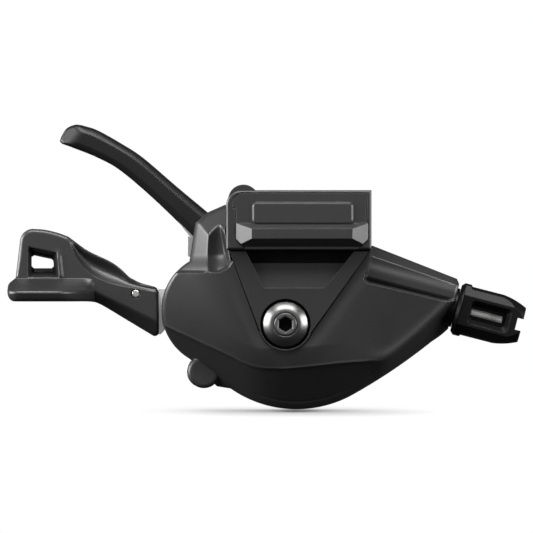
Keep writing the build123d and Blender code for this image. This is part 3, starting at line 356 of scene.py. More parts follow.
def smooth(points, per=10):
    """A smooth run through a few points, their ends included.

    Between two points it is a cubic whose slope at each end is half the step between that
    end's neighbours. The first and last point are mirrored to give the ends a neighbour.
    """
    p = np.asarray(points, float)
    p = np.vstack([2 * p[0] - p[1], p, 2 * p[-1] - p[-2]])
    t = np.linspace(0.0, 1.0, per, endpoint=False)[:, None, None]
    a, b, c, d = p[:-3], p[1:-2], p[2:-1], p[3:]
    run = 2 * b + (c - a) * t + (2 * a - 5 * b + 4 * c - d) * t**2
    run = 0.5 * (run + (3 * b - a - 3 * c + d) * t**3)
    return np.vstack([np.swapaxes(run, 0, 1).reshape(-1, 2), p[-2:-1]])


half_circle = arc((1.0, 0.0), (0.0, 1.0), (-1.0, 0.0))
print("half a circle in", len(half_circle), "points")

# %% [markdown]
# ## Depths
#
# The front of a moulding is a depth at every (x, z). Flat faces are planes, and the lower of
# two planes is a ridge, which a real mould leaves slightly round. A step back from one face
# to another follows a polygon, by the distance from its edge.

# %% Depth tools
def tilted(p1, p2, p3):
    """Depth, as a function of x and z, of the plane through three (x, z, depth) points.

    The cross product of two edges is at right angles to the plane and gives its slopes.
    """
    a, b, c = (np.array(p, float) for p in (p1, p2, p3))
    n = np.cross(b - a, c - a)
    return lambda x, z: a[2] - (n[0] * (x - a[0]) + n[1] * (z - a[1])) / n[2]


def soft_min(a, b, r):
    """The lower of two depths, less a parabola where they differ by under r, to round the ridge."""
    h = np.maximum(r - np.abs(a - b), 0.0) / r
    return np.minimum(a, b) - h * h * r / 4


def ease(t):
    """Smooth step from 0 at t = 0 to 1 at t = 1: three squares less two cubes."""
    t = np.clip(t, 0.0, 1.0)
    return t * t * (3 - 2 * t)


def hill(t):
    """Bell curve of height 1 at t = 0, which has nearly died out at t = 2 to either side."""
    return np.exp(-(t**2))


def from_edge(x, z, corners):
    """Distance to a closed polygon's edge in millimetres, positive inside it.

    A point is inside if a ray from it crosses the edge an odd number of times.
    """
    inside = np.zeros(np.shape(x), bool)
    far = np.full(np.shape(x), 1e9)
    for (ax, az), (bx, bz) in zip(corners, corners[1:] + corners[:1]):
        ux, uz = bx - ax, bz - az
        t = np.clip(((x - ax) * ux + (z - az) * uz) / (ux * ux + uz * uz), 0, 1)
        far = np.minimum(far, np.hypot(x - ax - t * ux, z - az - t * uz))
        rise = uz if uz else 1e-9
        inside ^= ((az > z) != (bz > z)) & (x < ux * (z - az) / rise + ax)
    return np.where(inside, far, -far)


def level(depth):
    """A flat face: the same depth everywhere."""
    return lambda x, z: depth + 0 * x


print("half way up a step", ease(0.5))

# %% [markdown]
# ## Mouldings
#
# A real moulding comes out of a steel mould with a front face, a wall down to the parting
# line, and a back. Here it is one grid of points. Each point of the outline has a partner
# further in, on the rim of a hole or on a line, and rows of points run from one to the
# other. Near the outline the rows follow a quarter circle, which rounds the edge as a mould
# does. One grid keeps the surface smooth where a mesh cut from solids would show seams.

# %% Rows of a moulding
ROLL_STEPS = 7


def ring_quads(tall, wide):
    """Quads of a grid of points, counted row by row, whose last column meets its first."""
    index = np.arange(tall * wide).reshape(tall, wide)
    right = np.roll(index, -1, axis=1)
    return np.stack([index[:-1], right[:-1], right[1:], index[1:]], axis=-1)


def face_rows(outer, inner, depth_of, roll, sign, count):
    """Rows of a face, from its rolled edge inwards.

    Through a quarter turn, the first rows go in by roll times one less the cosine and lie
    back by roll times one less the sine. The others divide the rest of the way evenly.
    """
    span = np.hypot(*(inner - outer).T)
    turn = np.linspace(0.0, math.pi / 2, ROLL_STEPS)
    rolled = (roll * (1 - np.cos(turn)))[:, None] + 0 * span
    level_part = roll + (span - roll) * np.linspace(0.0, 1.0, count)[1:, None]
    inset = np.concatenate([rolled, level_part])
    drop = np.concatenate([roll * (1 - np.sin(turn)), np.zeros(count - 1)])[:, None]
    at = outer + (inner - outer) * (inset / span)[..., None]
    depth = depth_of(at[..., 0], at[..., 1]) - sign * drop
    return np.concatenate([at, depth[..., None]], axis=-1)


print("a ring of 3 by 4 points has", ring_quads(3, 4).size // 4, "quads")

# %% [markdown]
# Front, wall and back are stacked into that grid. Where the partners are the rim of a real
# hole, one more band of quads joins front and back, so the piece is as thick as the real
# one and the light sees a closed body.

# %% A whole moulding
BACK_ROWS = 8


def moulding(
    outer, inner, front, back, roll, back_roll, rows, wall_rows=4, hole=None, cut=None, ring=True
):
    """Points and quads of a moulding between an outline and its inner partners.

    front and back give depths at (x, z), and the wall runs straight between their edges.
    hole marks the partners that are the rim of a real opening and get a wall too,
    cut(x, z, depth) marks quads of the wall that are left out, and ring tells whether the
    last column meets the first.
    """
    top = face_rows(outer, inner, front, roll, 1, rows)[::-1]
    under = face_rows(outer, inner, back, back_roll, -1, BACK_ROWS)
    mix = np.linspace(0.0, 1.0, wall_rows + 1)[1:-1, None, None]
    wall = top[-1] + (under[0] - top[-1]) * mix
    grid = np.concatenate([top, wall, under])
    tall, wide, _ = grid.shape
    quads = ring_quads(tall, wide)
    first = np.arange(wide)
    last = first + (tall - 1) * wide
    rim = np.stack([last, np.roll(last, -1), np.roll(first, -1), first], axis=-1)
    if not ring:
        quads, rim, hole = quads[:, :-1], rim[:-1], hole[:-1]
    if cut is not None:
        middle = grid.reshape(-1, 3)[quads].mean(axis=2)
        in_wall = np.zeros(quads.shape[:2], bool)
        in_wall[len(top) - 1 : len(top) + wall_rows + 1] = True
        quads = quads[~(cut(*np.moveaxis(middle, -1, 0)) & in_wall)]
    quads = quads.reshape(-1, 4)
    if hole is not None:
        quads = np.concatenate([quads, rim[hole & np.roll(hole, -1)]])
    return grid.reshape(-1, 3), quads


print("the back of a moulding has", BACK_ROWS, "rows")

# %% [markdown]
# A round post, such as a screw lug or the end of a pin, is a moulding on a circle. A lathe
# would turn it from rod. Its partners shrink to a tiny ring in the middle, which the weld
# below closes to a point.

# %% Posts
POST_ROWS, POST_COLUMNS = 8, 64
POST_BACK_ROLL = 0.2
HUB = 1e-4


def circle(x, z, radius, count):
    """Points of a circle: cosine and sine of even turns, times the radius."""
    turn = np.linspace(0.0, FULL_TURN, count, endpoint=False)
    return np.stack([x + radius * np.cos(turn), z + radius * np.sin(turn)], axis=1)


def round_post(x, z, radius, back, front, roll):
    """A round post with a rolled front edge, whose partners shrink to its middle."""
    ring = circle(x, z, radius, POST_COLUMNS)
    hub = np.array([x, z]) + HUB * (ring - [x, z])
    return moulding(ring, hub, level(front), level(back), roll, POST_BACK_ROLL, POST_ROWS)


print("a post has", len(round_post(0.0, 0.0, 1.0, 0.0, 2.0, 0.1)[1]), "faces")

# %% [markdown]
# Several shapes can make one object. Points that meet are welded, edges sharper than 35 degrees
# stay crisp, and the object is set on the body it rides on. The solids it stands in for are hidden,
# and it gets its material.

# %% Skins
WELD = 2e-6
CRISP = math.radians(35)


def skin(name, shapes, material, body, nodes_replaced, closed=True):
    """One object from several (points, quads) shapes given from the axle, set on its body."""
    starts = np.cumsum([0] + [len(v) for v, _ in shapes[:-1]])
    points = np.concatenate([place(*v.T) for v, _ in shapes])
    quads = np.concatenate([q + s for (_, q), s in zip(shapes, starts)])
    mesh = bpy.data.meshes.new(name)
    mesh.from_pydata(points.tolist(), [], quads.tolist())
    work = bmesh.new()
    work.from_mesh(mesh)
    bmesh.ops.remove_doubles(work, verts=work.verts, dist=WELD)
    if closed:
        bmesh.ops.recalc_face_normals(work, faces=work.faces)
    work.to_mesh(mesh)
    work.free()
    mesh.shade_smooth()
    mesh.set_sharp_from_angle(angle=CRISP)
    mesh.materials.append(material)
    obj = bpy.data.objects.new(name, mesh)
    bpy.context.collection.objects.link(obj)
    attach(obj, body)
    if nodes_replaced:
        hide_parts(*nodes_replaced)
    print(name, len(mesh.polygons), "faces")


print("weld distance", WELD / MM, "mm")

# %% [markdown]
# ## Housing
#
# The housing is the front shell over the whole mechanism. It could be moulded in one shot of
# filled nylon. Its outline is drawn in runs, from the left side of the block round to the
# right. Each run has a partner on the edge of the V-shaped recess in the middle, so the rows
# fan out from the V and no patch has to be joined to another.

# %% Housing outline
TOP, BACK = 21.5, 1.5
LEFT, RIGHT, LEDGE = -13.9, 20.25, 17.3
V_TIP = 6.25
V_GAP = 0.09
V_LEFT_X, V_LEFT_Z, V_LEFT_SLOPE, V_LEFT_GAP = -6.2, -1.4, 0.367, V_GAP / 0.94
V_RIGHT_X, V_RIGHT_Z, V_RIGHT_SLOPE, V_RIGHT_GAP = 6.2, -1.9, 0.708, V_GAP / 0.82


def v_left(z):
    """Left edge of the recess for the V-shaped plate: a leaning line, moved out by the gap."""
    return V_LEFT_X - V_LEFT_SLOPE * (z - V_LEFT_Z) - V_LEFT_GAP


def v_right(z):
    """Right edge of that recess, which leans the other way."""
    return V_RIGHT_X + V_RIGHT_SLOPE * (z - V_RIGHT_Z) + V_RIGHT_GAP


def housing_runs():
    """Runs of the outline, each with its partner run on the V and a number of columns."""
    shoulder, belly, lug, skirt = (-22.4, 14.6), (-22.3, -8.2), (-12.8, -15.1), (15.07, -16.88)
    flare, boss_low, boss_high = (34.2, -4.07), (38.0, -1.17), (40.5, 9.33)
    boss_top = (40.0, 10.53)
    on_left = [(v_left(z), z) for z in (LEDGE, 15.0, 2.5, -1.5)]
    on_right = [(v_right(z), z) for z in (-1.9, 8.0, 12.2, LEDGE)]
    top_left = [(LEFT, LEDGE), (LEFT, 27.9), (-18.2, 26.0), (-21.0, 23.6), shoulder]
    side = np.vstack([arc(shoulder, (-28.9, 2.9), belly, 60), [belly]])
    bottom = np.vstack([arc(lug, (2.65, -19.93), skirt, 60), [skirt]])
    tip = np.vstack([arc(on_left[3], (0.0, -V_TIP), on_right[0], 60), on_right[:1]])
    low_right = np.vstack([
        arc(skirt, (24.4, -11.2), flare, 40),
        arc(flare, (36.6, -2.4), boss_low, 10),
        [boss_low],
    ])
    return [
        (top_left, on_left[:2], 115),
        (side, on_left[1:3], 125),
        ([belly, (-16.0, -14.6), lug], on_left[2:], 60),
        (bottom, tip, 150),
        (low_right, on_right[:2], 120),
        ([boss_low, boss_high, boss_top], on_right[1:3], 70),
        ([boss_top, (RIGHT, LEDGE + 1.0), (RIGHT, LEDGE)], on_right[2:], 105),
    ]


runs = housing_runs()
cover_outer = np.vstack([spread(run, count) for run, _, count in runs] + [runs[-1][0][-1:]])
cover_inner = np.vstack([spread(mate, count) for _, mate, count in runs] + [runs[-1][1][-1:]])
print("housing outline", len(cover_outer), "columns")

# %% [markdown]
# The face is crowned: flat in the middle, falling away softly to the left and the right. A
# mould maker would cut it as a few broad faces and blend their ridges, and the formula does
# the same.

# %% Housing face
def from_v_left(x, z):
    """Sideways distance to the right of the V's left edge."""
    return (x - V_LEFT_X) + V_LEFT_SLOPE * (z - V_LEFT_Z)


def from_v_right(x, z):
    """Sideways distance to the right of the V's right edge."""
    return (x - V_RIGHT_X) - V_RIGHT_SLOPE * (z - V_RIGHT_Z)


def broad_face(x, z):
    """The crowned face: the lowest of a level, two planes on the left and a curve on the right.

    The curve falls with the distance beyond the V and with its square.
    """
    near = tilted((-12.0, 14.4, TOP), (-6.2, -1.4, TOP), (-18.0, 13.7, TOP - 0.8))(x, z)
    left = tilted(
        (-18.0, 13.7, TOP - 0.7), (-13.0, -3.7, TOP - 0.8), (-28.5, 3.0, TOP - 6.7)
    )(x, z)
    left = left - 0.006 * np.maximum(12.0 - z, 0.0) ** 2
    beyond = np.maximum(0.816 * from_v_right(x, z), 0.0)
    right = TOP - 0.08 * beyond - 0.0058 * beyond**2
    face = soft_min(soft_min(TOP + 0 * x, near, 0.6), left, 1.2)
    return soft_min(face, right, 0.3)


print("face at the tip of the V", broad_face(np.zeros(1), np.full(1, -V_TIP)).round(2), "mm")

# %% [markdown]
# Below, the face breaks along a swept crease into a wall that lies in shade. On the left the
# crease is crisp, as a sharp cutter leaves it, and on the right it fades to a round ridge.
# Both sides are worked out everywhere, and the height over the crease picks between them.

# %% Housing crease
VALLEY_DEEP, DIP_SLOPE, CREASE_LIP, RIDGE_HIGH = 0.30, 0.26, 0.1, 0.75
GROOVE_X, GROOVE_Z, GROOVE_R = 2.6, 7.1, 25.2
GROOVE_DEEP = GROOVE_WIDE = 0.22
crease = smooth([
    (-29.5, 0.1), (-23.5, -2.6), (-18.2, -5.0), (-12.8, -7.5), (-8.8, -9.4),
    (-6.2, -10.1), (-3.5, -10.3), (0.5, -10.3), (5.9, -9.8), (13.6, -9.0),
    (19.3, -8.6), (23.8, -7.9), (31.2, -2.1), (38.8, 5.2),
])


def creased_face(x, z):
    """The face above the crease and the wall below it, each by its height over the crease.

    Shallow valleys run beside the V, and the face dips below its tip. On the left the crease
    has an undercut and a fine lip, and on the right it turns to a rounded ridge.
    """
    edge = np.interp(x, *crease.T)
    up = z - edge
    beside = hill((from_v_left(x, z) + 1.3) / 1.5) + hill((from_v_right(x, z) - 1.6) / 1.9)
    valley = VALLEY_DEEP * ease((z + 7.0) / 5.0) * beside
    middle = hill((x - 1.0) / 9.0)
    dip = DIP_SLOPE * middle * np.clip(4.6 - up, 0.0, 4.6)
    face = broad_face(x, z) - valley - dip
    at_crease = broad_face(x, edge) - 1.2 * middle
    soft = ease((x - 17.0) / 8.0)
    wall = at_crease + (0.85 + 0.35 * soft) * up - 0.8 * (1 - soft) * ease(-up / 0.5)
    crisp = np.where(up > 0.0, face, wall) + CREASE_LIP * hill(up / 0.3)
    rounded = soft_min(face, wall, 1.6) + RIDGE_HIGH * hill(0.74 * up / 1.4)
    return crisp + (rounded - crisp) * soft


def parting_groove(x, z):
    """Depth of the fine groove along the bottom: a bell across a circle, faded at both ends."""
    from_middle = np.hypot(x - GROOVE_X, z - GROOVE_Z)
    fade = ease((x + 9.0) / 4.0) * ease((22.0 - x) / 4.0)
    return GROOVE_DEEP * hill((from_middle - GROOVE_R) / GROOVE_WIDE) * fade * (z < -8.0)


print("crease in", len(crease), "points")

# %% [markdown]
# Two places step back from the face. At the upper left, a shoulder of two small faces and a
# scoop makes room beside the block. At the right, the tunnel of the cable line lies behind
# an edge that catches the light. Each step follows a polygon, and it only ever cuts into
# the face, as a milling cutter would.

# %% Housing steps
STEP_MM = 0.6
LOW = TOP - 10.0
shoulder_area = [
    (-40.0, 12.1), (-15.4, 12.2), (-13.4, 13.2), (-12.2, 15.0), (-12.2, 40.0), (-40.0, 40.0),
]
tunnel_area = [
    (20.8, 24.0), (20.3, 17.2), (18.8, 11.7), (18.5, 10.4), (19.2, 9.75),
    (36.6, 5.65), (38.0, 5.5), (50.0, 8.0), (50.0, 24.0),
]


def step_back(depth, lower, x, z, area):
    """Change from a depth to a lower one by a smooth step, STEP_MM wide, on a polygon's edge."""
    step = ease(from_edge(x, z, area) / STEP_MM + 0.5)
    return depth + (np.minimum(lower, depth) - depth) * step


def shoulder_depth(x, z):
    """The lower of two planes and a scoop: a parabola across, with a lip beside the block."""
    faces = soft_min(
        tilted((-21.0, 23.5, LOW), (-22.4, 14.4, LOW), (-17.3, 20.5, TOP - 4.0))(x, z),
        tilted((-19.9, 24.9, LOW), (-14.3, 27.9, LOW), (-15.5, 21.0, TOP - 4.0))(x, z),
        0.5,
    )
    run_out = 1.3 * (1 - np.clip((z - 12.0) / 8.5, 0.0, 1.0)) ** 2
    scoop = TOP - 6.0 + 0.16 * (x + 15.2) ** 2 + run_out
    lip = 2.0 * hill((x + 14.3 - 0.203 * (22.3 - z)) / 0.55)
    flare = 2.3 * ease((16.5 - z) / 4.6)
    return soft_min(faces, scoop + lip, 0.5) + flare


def tunnel_depth(x, z):
    """Two smooth steps across the cable line, cut off above by a plane that falls away."""
    above = 0.968 * ((z - 3.83) + 0.2586 * (x - 39.3))
    crest = 16.6 - 0.55 * ease((above - 3.2) / 2.6) - 0.9 * ease((2.1 - above) / 1.1)
    return soft_min(crest, 16.05 - 1.4 * (z - 15.6 + 0.342 * (x - 20.8)), 0.25)


def housing_depth(x, z):
    """Front of the housing: the creased face less its groove, with both steps cut into it."""
    depth = creased_face(x, z) - parting_groove(x, z)
    depth = step_back(depth, shoulder_depth(x, z), x, z, shoulder_area)
    depth = step_back(depth, tunnel_depth(x, z), x, z, tunnel_area)
    return np.maximum(depth, BACK + 3.0)


print("depth below the plate's tip", housing_depth(np.zeros(1), np.full(1, -8.0)).round(2), "mm")

# %% [markdown]
# The steel arm of the thumb lever comes out through a slot in the left wall, so the quads
# there are left out. A small round lug for a cover screw stands at the lower left. It would
# come out of the same mould, so both shapes make one object.

# %% Housing skin
SLOT_FROM, SLOT_TO = 161, 199
SLOT_LOW, SLOT_HIGH = 4.3, 6.6
LUG_X, LUG_Z, LUG_R = -19.0, -11.2, 3.8


def housing_back(x, z):
    """Back edge of the wall: level, then forward by a quarter of the way beyond x = 23."""
    return BACK + 0.25 * np.maximum(x - 23.0, 0.0)


def arm_slot(x, z, depth):
    """True in the slot of the arm: between two angles about the axle and two depths."""
    angle = np.degrees(np.arctan2(z, x)) % 360
    swing = (x < -15) & (angle > SLOT_FROM) & (angle < SLOT_TO)
    return swing & (depth > SLOT_LOW) & (depth < SLOT_HIGH)


cover_shape = moulding(
    cover_outer,
    cover_inner,
    housing_depth,
    housing_back,
    roll=1.0,
    back_roll=0.3,
    rows=100,
    wall_rows=12,
    hole=np.full(len(cover_outer), True),
    cut=arm_slot,
    ring=False,
)
lug_shape = round_post(LUG_X, LUG_Z, LUG_R, BACK, LOW, roll=0.9)
skin("housing_front", [cover_shape, lug_shape], nylon, "housing", ["front_cover"])

# %% [markdown]
# The floor of the V-shaped recess lies under the plate. It belongs to the same moulding, but only a
# thin gap beside the plate shows it, so a sheet in level rows is enough. Its darker, duller black
# is painted shade, which keeps that gap a clean dark line.

# %% Recess floor
row_z = np.linspace(LEDGE, -V_TIP, 60)[:, None]
half_tip = np.sqrt(np.maximum(V_TIP**2 - row_z**2, 0.0))
row_left = np.where(row_z > -1.5, v_left(row_z), -half_tip)
row_right = np.where(row_z > -1.9, v_right(row_z), half_tip)
row_x = row_left + (row_right - row_left) * np.linspace(0.0, 1.0, 12)
under_plate = depth_range("shield_plate")[0] - 0.1
sheet = np.stack(np.broadcast_arrays(row_x, row_z, under_plate), axis=-1)
index = np.arange(row_x.size).reshape(row_x.shape)
corners = [index[:-1, :-1], index[1:, :-1], index[1:, 1:], index[:-1, 1:]]
recess_shape = sheet.reshape(-1, 3), np.stack(corners, axis=-1).reshape(-1, 4)
# The floor's near-black finish is painted shade in the gap beside the plate
skin(
    "plate_recess", [recess_shape], recess_shade_nylon, "housing", ["front_cover"],
    closed=False,
)

# %% [markdown]
# ## Thumb lever
#
# The thumb lever is a casting on the end of the steel arm: a neck round the fixing pin, a head
# with a window that saves weight, and a wide pad that comes forward for the thumb. It could be
# die cast in one piece and painted. The rows of its surface run from the outline to the pin
# hole, to the rim of the window and to a line between these two.

# %% Thumb lever outline
CAST_BACK, CAST_FRONT, PAD_FRONT = 2.15, 8.75, 19.5
PIN_X, PIN_Z, PIN_R, PIN_HOLE_R = -34.9, 7.0, 1.05, 1.14
PAD_TOP, PAD_LIP, PAD_EDGE = 10.6, 7.9, 0.8
PAD_CORNER_X, PAD_CORNER_R = -61.8, 3.0
FUNNEL_DEEP, FUNNEL_WIDE, RIB_HIGH, RIB_WIDE = 4.4, 1.5, 0.55, 0.7
neck_top = [
    (-36.5, 10.9), (-38.7, 13.0), (-41.2, 14.7), (-46.2, 17.1), (-49.3, 19.3), (-50.8, 20.4),
]
mouth = [(-60.1, 18.0), (-53.4, 16.6), (-52.9, 10.9), (-60.1, 10.9)]
throat = [
    (-54.2, 14.2), (-54.3, 14.7), (-54.6, 15.1), (-58.8, 16.0), (-59.4, 15.6),
    (-59.4, 13.5), (-58.9, 13.0), (-54.7, 13.0), (-54.2, 13.4), (-54.2, 14.2),
]
pad_end_run = [
    (-63.1, 10.6), (-64.5, 9.4), (-64.75, 8.1), (-64.5, 6.4), (-63.6, 5.4), (-62.4, 5.25),
]


def lever_runs():
    """Outline of the thumb lever as four runs: round the pin, neck top, head and neck bottom."""
    heel, nose, brow, temple = (-37.5, 1.15), (-30.9, 8.75), (-59.1, 22.2), (-62.0, 19.3)
    pad_root = (-50.0, 5.25)
    pin_end = np.vstack([
        [heel],
        arc((-31.1, -2.7), (-29.95, -2.7), (-29.6, -1.6), 10),
        arc((-29.6, 7.2), (-29.95, 8.2), nose, 10),
        smooth([nose, (-33.9, 9.6), neck_top[0]]),
    ])
    head = np.vstack([
        smooth([neck_top[-1], (-53.3, 21.3), (-56.3, 22.0), brow]),
        arc(brow, (-61.2, 21.2), temple, 10),
        [temple, (-63.0, 10.9)],
        smooth(pad_end_run),
        [pad_root],
    ])
    neck_low = smooth([pad_root, (-45.7, 5.2), (-43.7, 4.75), (-41.2, 3.4), heel])
    return pin_end, smooth(neck_top), head, neck_low


print("thumb lever outline in", len(lever_runs()), "runs")

# %% [markdown]
# The neck has a hollow along its top and a bevel along its bottom, so that it shows one crisp
# line. The pad is dished on top, where the thumb pushes, and has a rolled lip. Each is a
# formula of its own, and the front of the lever is whichever stands out further.

# %% Thumb lever face
def neck_depth(x, z):
    """A level front, less half a sine wave in the hollow above a line, cut by a bevel below.

    The line climbs along the neck and turns up steeply, by an exponential, at the head.
    """
    line = 7.6 + 0.13 * (-31.0 - x) + 9.0 * np.exp(-(x + 50.5) / 3.6)
    top_x, top_z = smooth([(-29.6, 8.4), (-33.9, 9.6)] + neck_top).T
    height = np.maximum(np.interp(-x, -top_x, top_z) - line, 0.4)
    u = np.clip((z - line) / height, 0.0, 1.0)
    hollow = 0.36 * height * np.sin(math.pi * u) * ease((x + 51.0) / 2.5)
    low_line = 7.9 - 0.48 * (np.maximum(x, -46.5) + 45.5)
    bevel = CAST_FRONT - 0.62 * (low_line - z) + 8.0 * (1 - ease((x + 49.0) / 4.0))
    return soft_min(CAST_FRONT - hollow, bevel, 0.35)


def pad_depth(x, z):
    """Front of the pad: its reach by a parabola in plan and a round corner at the left end.

    Above the lip, the dish comes forward by a power of the way down. The lip itself follows
    a quarter circle, and below it the pad falls back.
    """
    plan = np.clip(1 - (np.maximum(x + 54.0, 0.0) / 9.4) ** 2, 0.0, 1.0)
    corner = np.clip(PAD_CORNER_X - x, 0.0, 2.95)
    cut_back = PAD_CORNER_R - np.sqrt(PAD_CORNER_R**2 - corner**2)
    reach = (PAD_FRONT - CAST_FRONT) * plan - cut_back * plan
    q = np.clip((PAD_TOP - z) / (PAD_TOP - PAD_LIP), 0.0, 1.0)
    dish = (reach - PAD_EDGE * plan) * (1 - (1 - q) ** 0.6)
    over = np.clip((z - (PAD_LIP - PAD_EDGE)) / PAD_EDGE, 0.0, 1.0)
    lip = reach - PAD_EDGE * plan * (1 - np.sqrt(1 - over**2))
    lip = lip - 0.45 * plan * np.clip(PAD_LIP - PAD_EDGE - z, 0.0, 2.0)
    return CAST_FRONT + np.where(z > PAD_LIP, dish, lip)


def lever_depth(x, z):
    """Front of the lever: the neck less the window's funnel plus its rib, or else the pad."""
    funnel = FUNNEL_DEEP * ease(from_edge(x, z, mouth) / FUNNEL_WIDE + 0.1)
    across = hill((x + 52.6 + 0.1 * (z - 12)) / RIB_WIDE)
    rib = across * ease((z - 9.5) / 2) * ease((18.0 - z) / 3)
    depth = neck_depth(x, z) - funnel + RIB_HIGH * rib
    in_pad = (z < PAD_TOP) & (x < -44.6)
    return np.where(in_pad, np.maximum(depth, pad_depth(x, z)), depth)


print("pad comes forward", PAD_FRONT - CAST_FRONT, "mm")

# %% [markdown]
# The outline and its partners need the same number of columns, run by run. The head gets the
# most, because the lip of the pad and the funnel of the window bend the most. The pin that
# fixes the casting to its arm could be a length of ground steel rod, and shows its round end.

# %% Thumb lever skins
PIN_COLUMNS, NECK_COLUMNS, HEAD_COLUMNS = 96, 110, 330
columns = [PIN_COLUMNS, NECK_COLUMNS, HEAD_COLUMNS, NECK_COLUMNS]
pin_rim = circle(PIN_X, PIN_Z, -PIN_HOLE_R, PIN_COLUMNS)
bridge = np.array([pin_rim[0], throat[0]])
lever_outer = np.vstack([spread(run, count) for run, count in zip(lever_runs(), columns)])
lever_inner = np.vstack([
    pin_rim,
    spread(bridge, NECK_COLUMNS),
    spread(throat, HEAD_COLUMNS),
    spread(bridge[::-1], NECK_COLUMNS),
])
lever_shape = moulding(
    lever_outer,
    lever_inner,
    lever_depth,
    level(CAST_BACK),
    roll=1.0,
    back_roll=0.8,
    rows=72,
    hole=np.repeat([True, False, True, False], columns),
)
skin("thumb_lever", [lever_shape], paint, "thumb_lever", ["main_lever"])
pin_back, pin_front = depth_range("lever_pin")
pin_shape = round_post(PIN_X, PIN_Z, PIN_R, pin_back, pin_front, roll=0.45)
skin("lever_pin_end", [pin_shape], steel, "thumb_lever", ["lever_pin"])

# %% [markdown]
# ## Release lever
#
# The horn of the release lever curves up to the left behind the housing, where the first
# finger or the thumb finds it. It could be moulded over its steel arm. A ridge runs along
# it, with a band above that faces the light and a band below that falls into shade. The
# formula works in a frame that lies along the horn, where these bands are nearly level.

# %% Release lever outline
HORN_FRONT, HORN_BACK = -0.7, -6.9
HORN_LEAN = math.radians(-35.0)
HORN_COLUMNS = 520
horn_top = [
    (-18.2, 26.1), (-25.4, 32.1), (-33.4, 38.95), (-38.7, 42.4), (-44.1, 45.4), (-47.8, 46.6),
]
horn_tip = [(-47.8, 46.6), (-49.4, 46.68), (-51.5, 45.7), (-52.9, 43.1)]
horn_low = [
    (-52.4, 42.2), (-49.4, 41.1), (-44.1, 38.95), (-38.7, 35.9), (-30.7, 29.1), (-21.7, 20.4),
]
horn_spine = smooth([(-20.6, 23.6), (-28.2, 30.4), (-36.6, 37.0), (-44.1, 42.0), (-49.6, 44.2)])


def along_horn(x, z):
    """Coordinates along and across the horn: x and z turned by its lean."""
    c, s = math.cos(HORN_LEAN), math.sin(HORN_LEAN)
    return x * c + z * s, z * c - x * s


horn_root = [(-19.9, 19.0), (-16.4, 24.6)]
loop = np.vstack([
    smooth(horn_top), smooth(horn_tip + horn_low[:1]), smooth(horn_low), horn_root, horn_top[:1],
])
horn_outer = spread(loop, HORN_COLUMNS)
spine_u = np.clip(along_horn(*horn_outer.T)[0], -67.4, -32.5)
spine_along = along_horn(*horn_spine.T)[0]
horn_inner = np.stack(
    [np.interp(-spine_u, -spine_along, side) for side in horn_spine.T], axis=1
)
print("horn outline", len(horn_outer), "columns")

# %% [markdown]
# Across the horn, the front is made of straight slopes with softened ridges between them. The
# upper one is broad and round, because that is where the light runs along the real horn.

# %% Release lever skin
RIDGE, SHADE_LINE, TIP_START = 0.69, 0.27, -64.2
BAND_FALL, FACE_FALL, SHADE_FALL, TIP_FALL = 6.4, 0.6, 4.2, 0.6


def horn_depth(x, z):
    """Front of the horn: the lowest of a lit band, a face, a shaded band and a falling tip.

    All but the tip are straight in w, the share of the way from the lower to the upper edge.
    """
    u, v = along_horn(x, z)
    top_u, top_v = along_horn(*smooth(horn_top[:-1] + horn_tip).T)
    low_u, low_v = along_horn(*smooth(horn_low).T)
    low = np.interp(u, low_u, low_v)
    high = np.interp(-u, -top_u, top_v)
    w = (v - low) / np.maximum(high - low, 0.5)
    band = HORN_FRONT - BAND_FALL * np.maximum(w - RIDGE, 0.0)
    face = HORN_FRONT - FACE_FALL * np.maximum(RIDGE - w, 0.0)
    shade = HORN_FRONT - 0.25 - SHADE_FALL * np.maximum(SHADE_LINE - w, 0.0)
    tip = HORN_FRONT - TIP_FALL * np.maximum(TIP_START - u, 0.0)
    front = soft_min(soft_min(soft_min(band, face, 1.6), shade, 0.6), tip, 0.8)
    return np.maximum(front, HORN_FRONT - 3.2)


horn_shape = moulding(
    horn_outer, horn_inner, horn_depth, level(HORN_BACK), roll=0.7, back_roll=1.6, rows=40
)
skin(
    "release_horn", [horn_shape], smooth_nylon, "releasing_lever", ["release_lever"],
)

# %% [markdown]
# ## Washer and painted groove shade
#
# The domed washer spreads the bolt's load on the plate. A near-black ring in the plate's groove
# round it is painted shade, so that the groove reads as a dark line. A lathe would make the washer,
# and both are profiles turned about the axle. Their depth comes from the washer's solid.

# %% Washer and groove shade
WASHER_R, WASHER_EYE, WASHER_BORE = 5.2, 2.72, 2.2
GROOVE_SHADE_IN, GROOVE_SHADE_OUT = 4.85, 5.8


def turned(profile, count=128):
    """A closed profile of (radius, depth) points turned about the axle by cosine and sine."""
    r, d = np.vstack([profile, profile[:1]]).T
    around = np.linspace(0, FULL_TURN, count, endpoint=False)
    grid = np.stack(
        [np.outer(r, np.cos(around)), np.outer(r, np.sin(around)), np.outer(d, 1 + 0 * around)],
        axis=-1,
    )
    return grid.reshape(-1, 3), ring_quads(len(r), count).reshape(-1, 4)


seat, crown = depth_range("dome_washer")
t = np.linspace(1.0, 0.0, 28)
dome_r = WASHER_EYE + 0.2 + (WASHER_R - WASHER_EYE - 0.2) * t
dome = crown - (crown - seat - 0.35) * t**1.7
profile = [(WASHER_BORE, seat), (WASHER_R, seat), *zip(dome_r, dome)]
profile += [(WASHER_EYE, crown - 0.15), (WASHER_EYE, seat + 0.5), (WASHER_BORE, seat + 0.5)]
skin("washer", [turned(profile)], bright, "housing", ["dome_washer"])
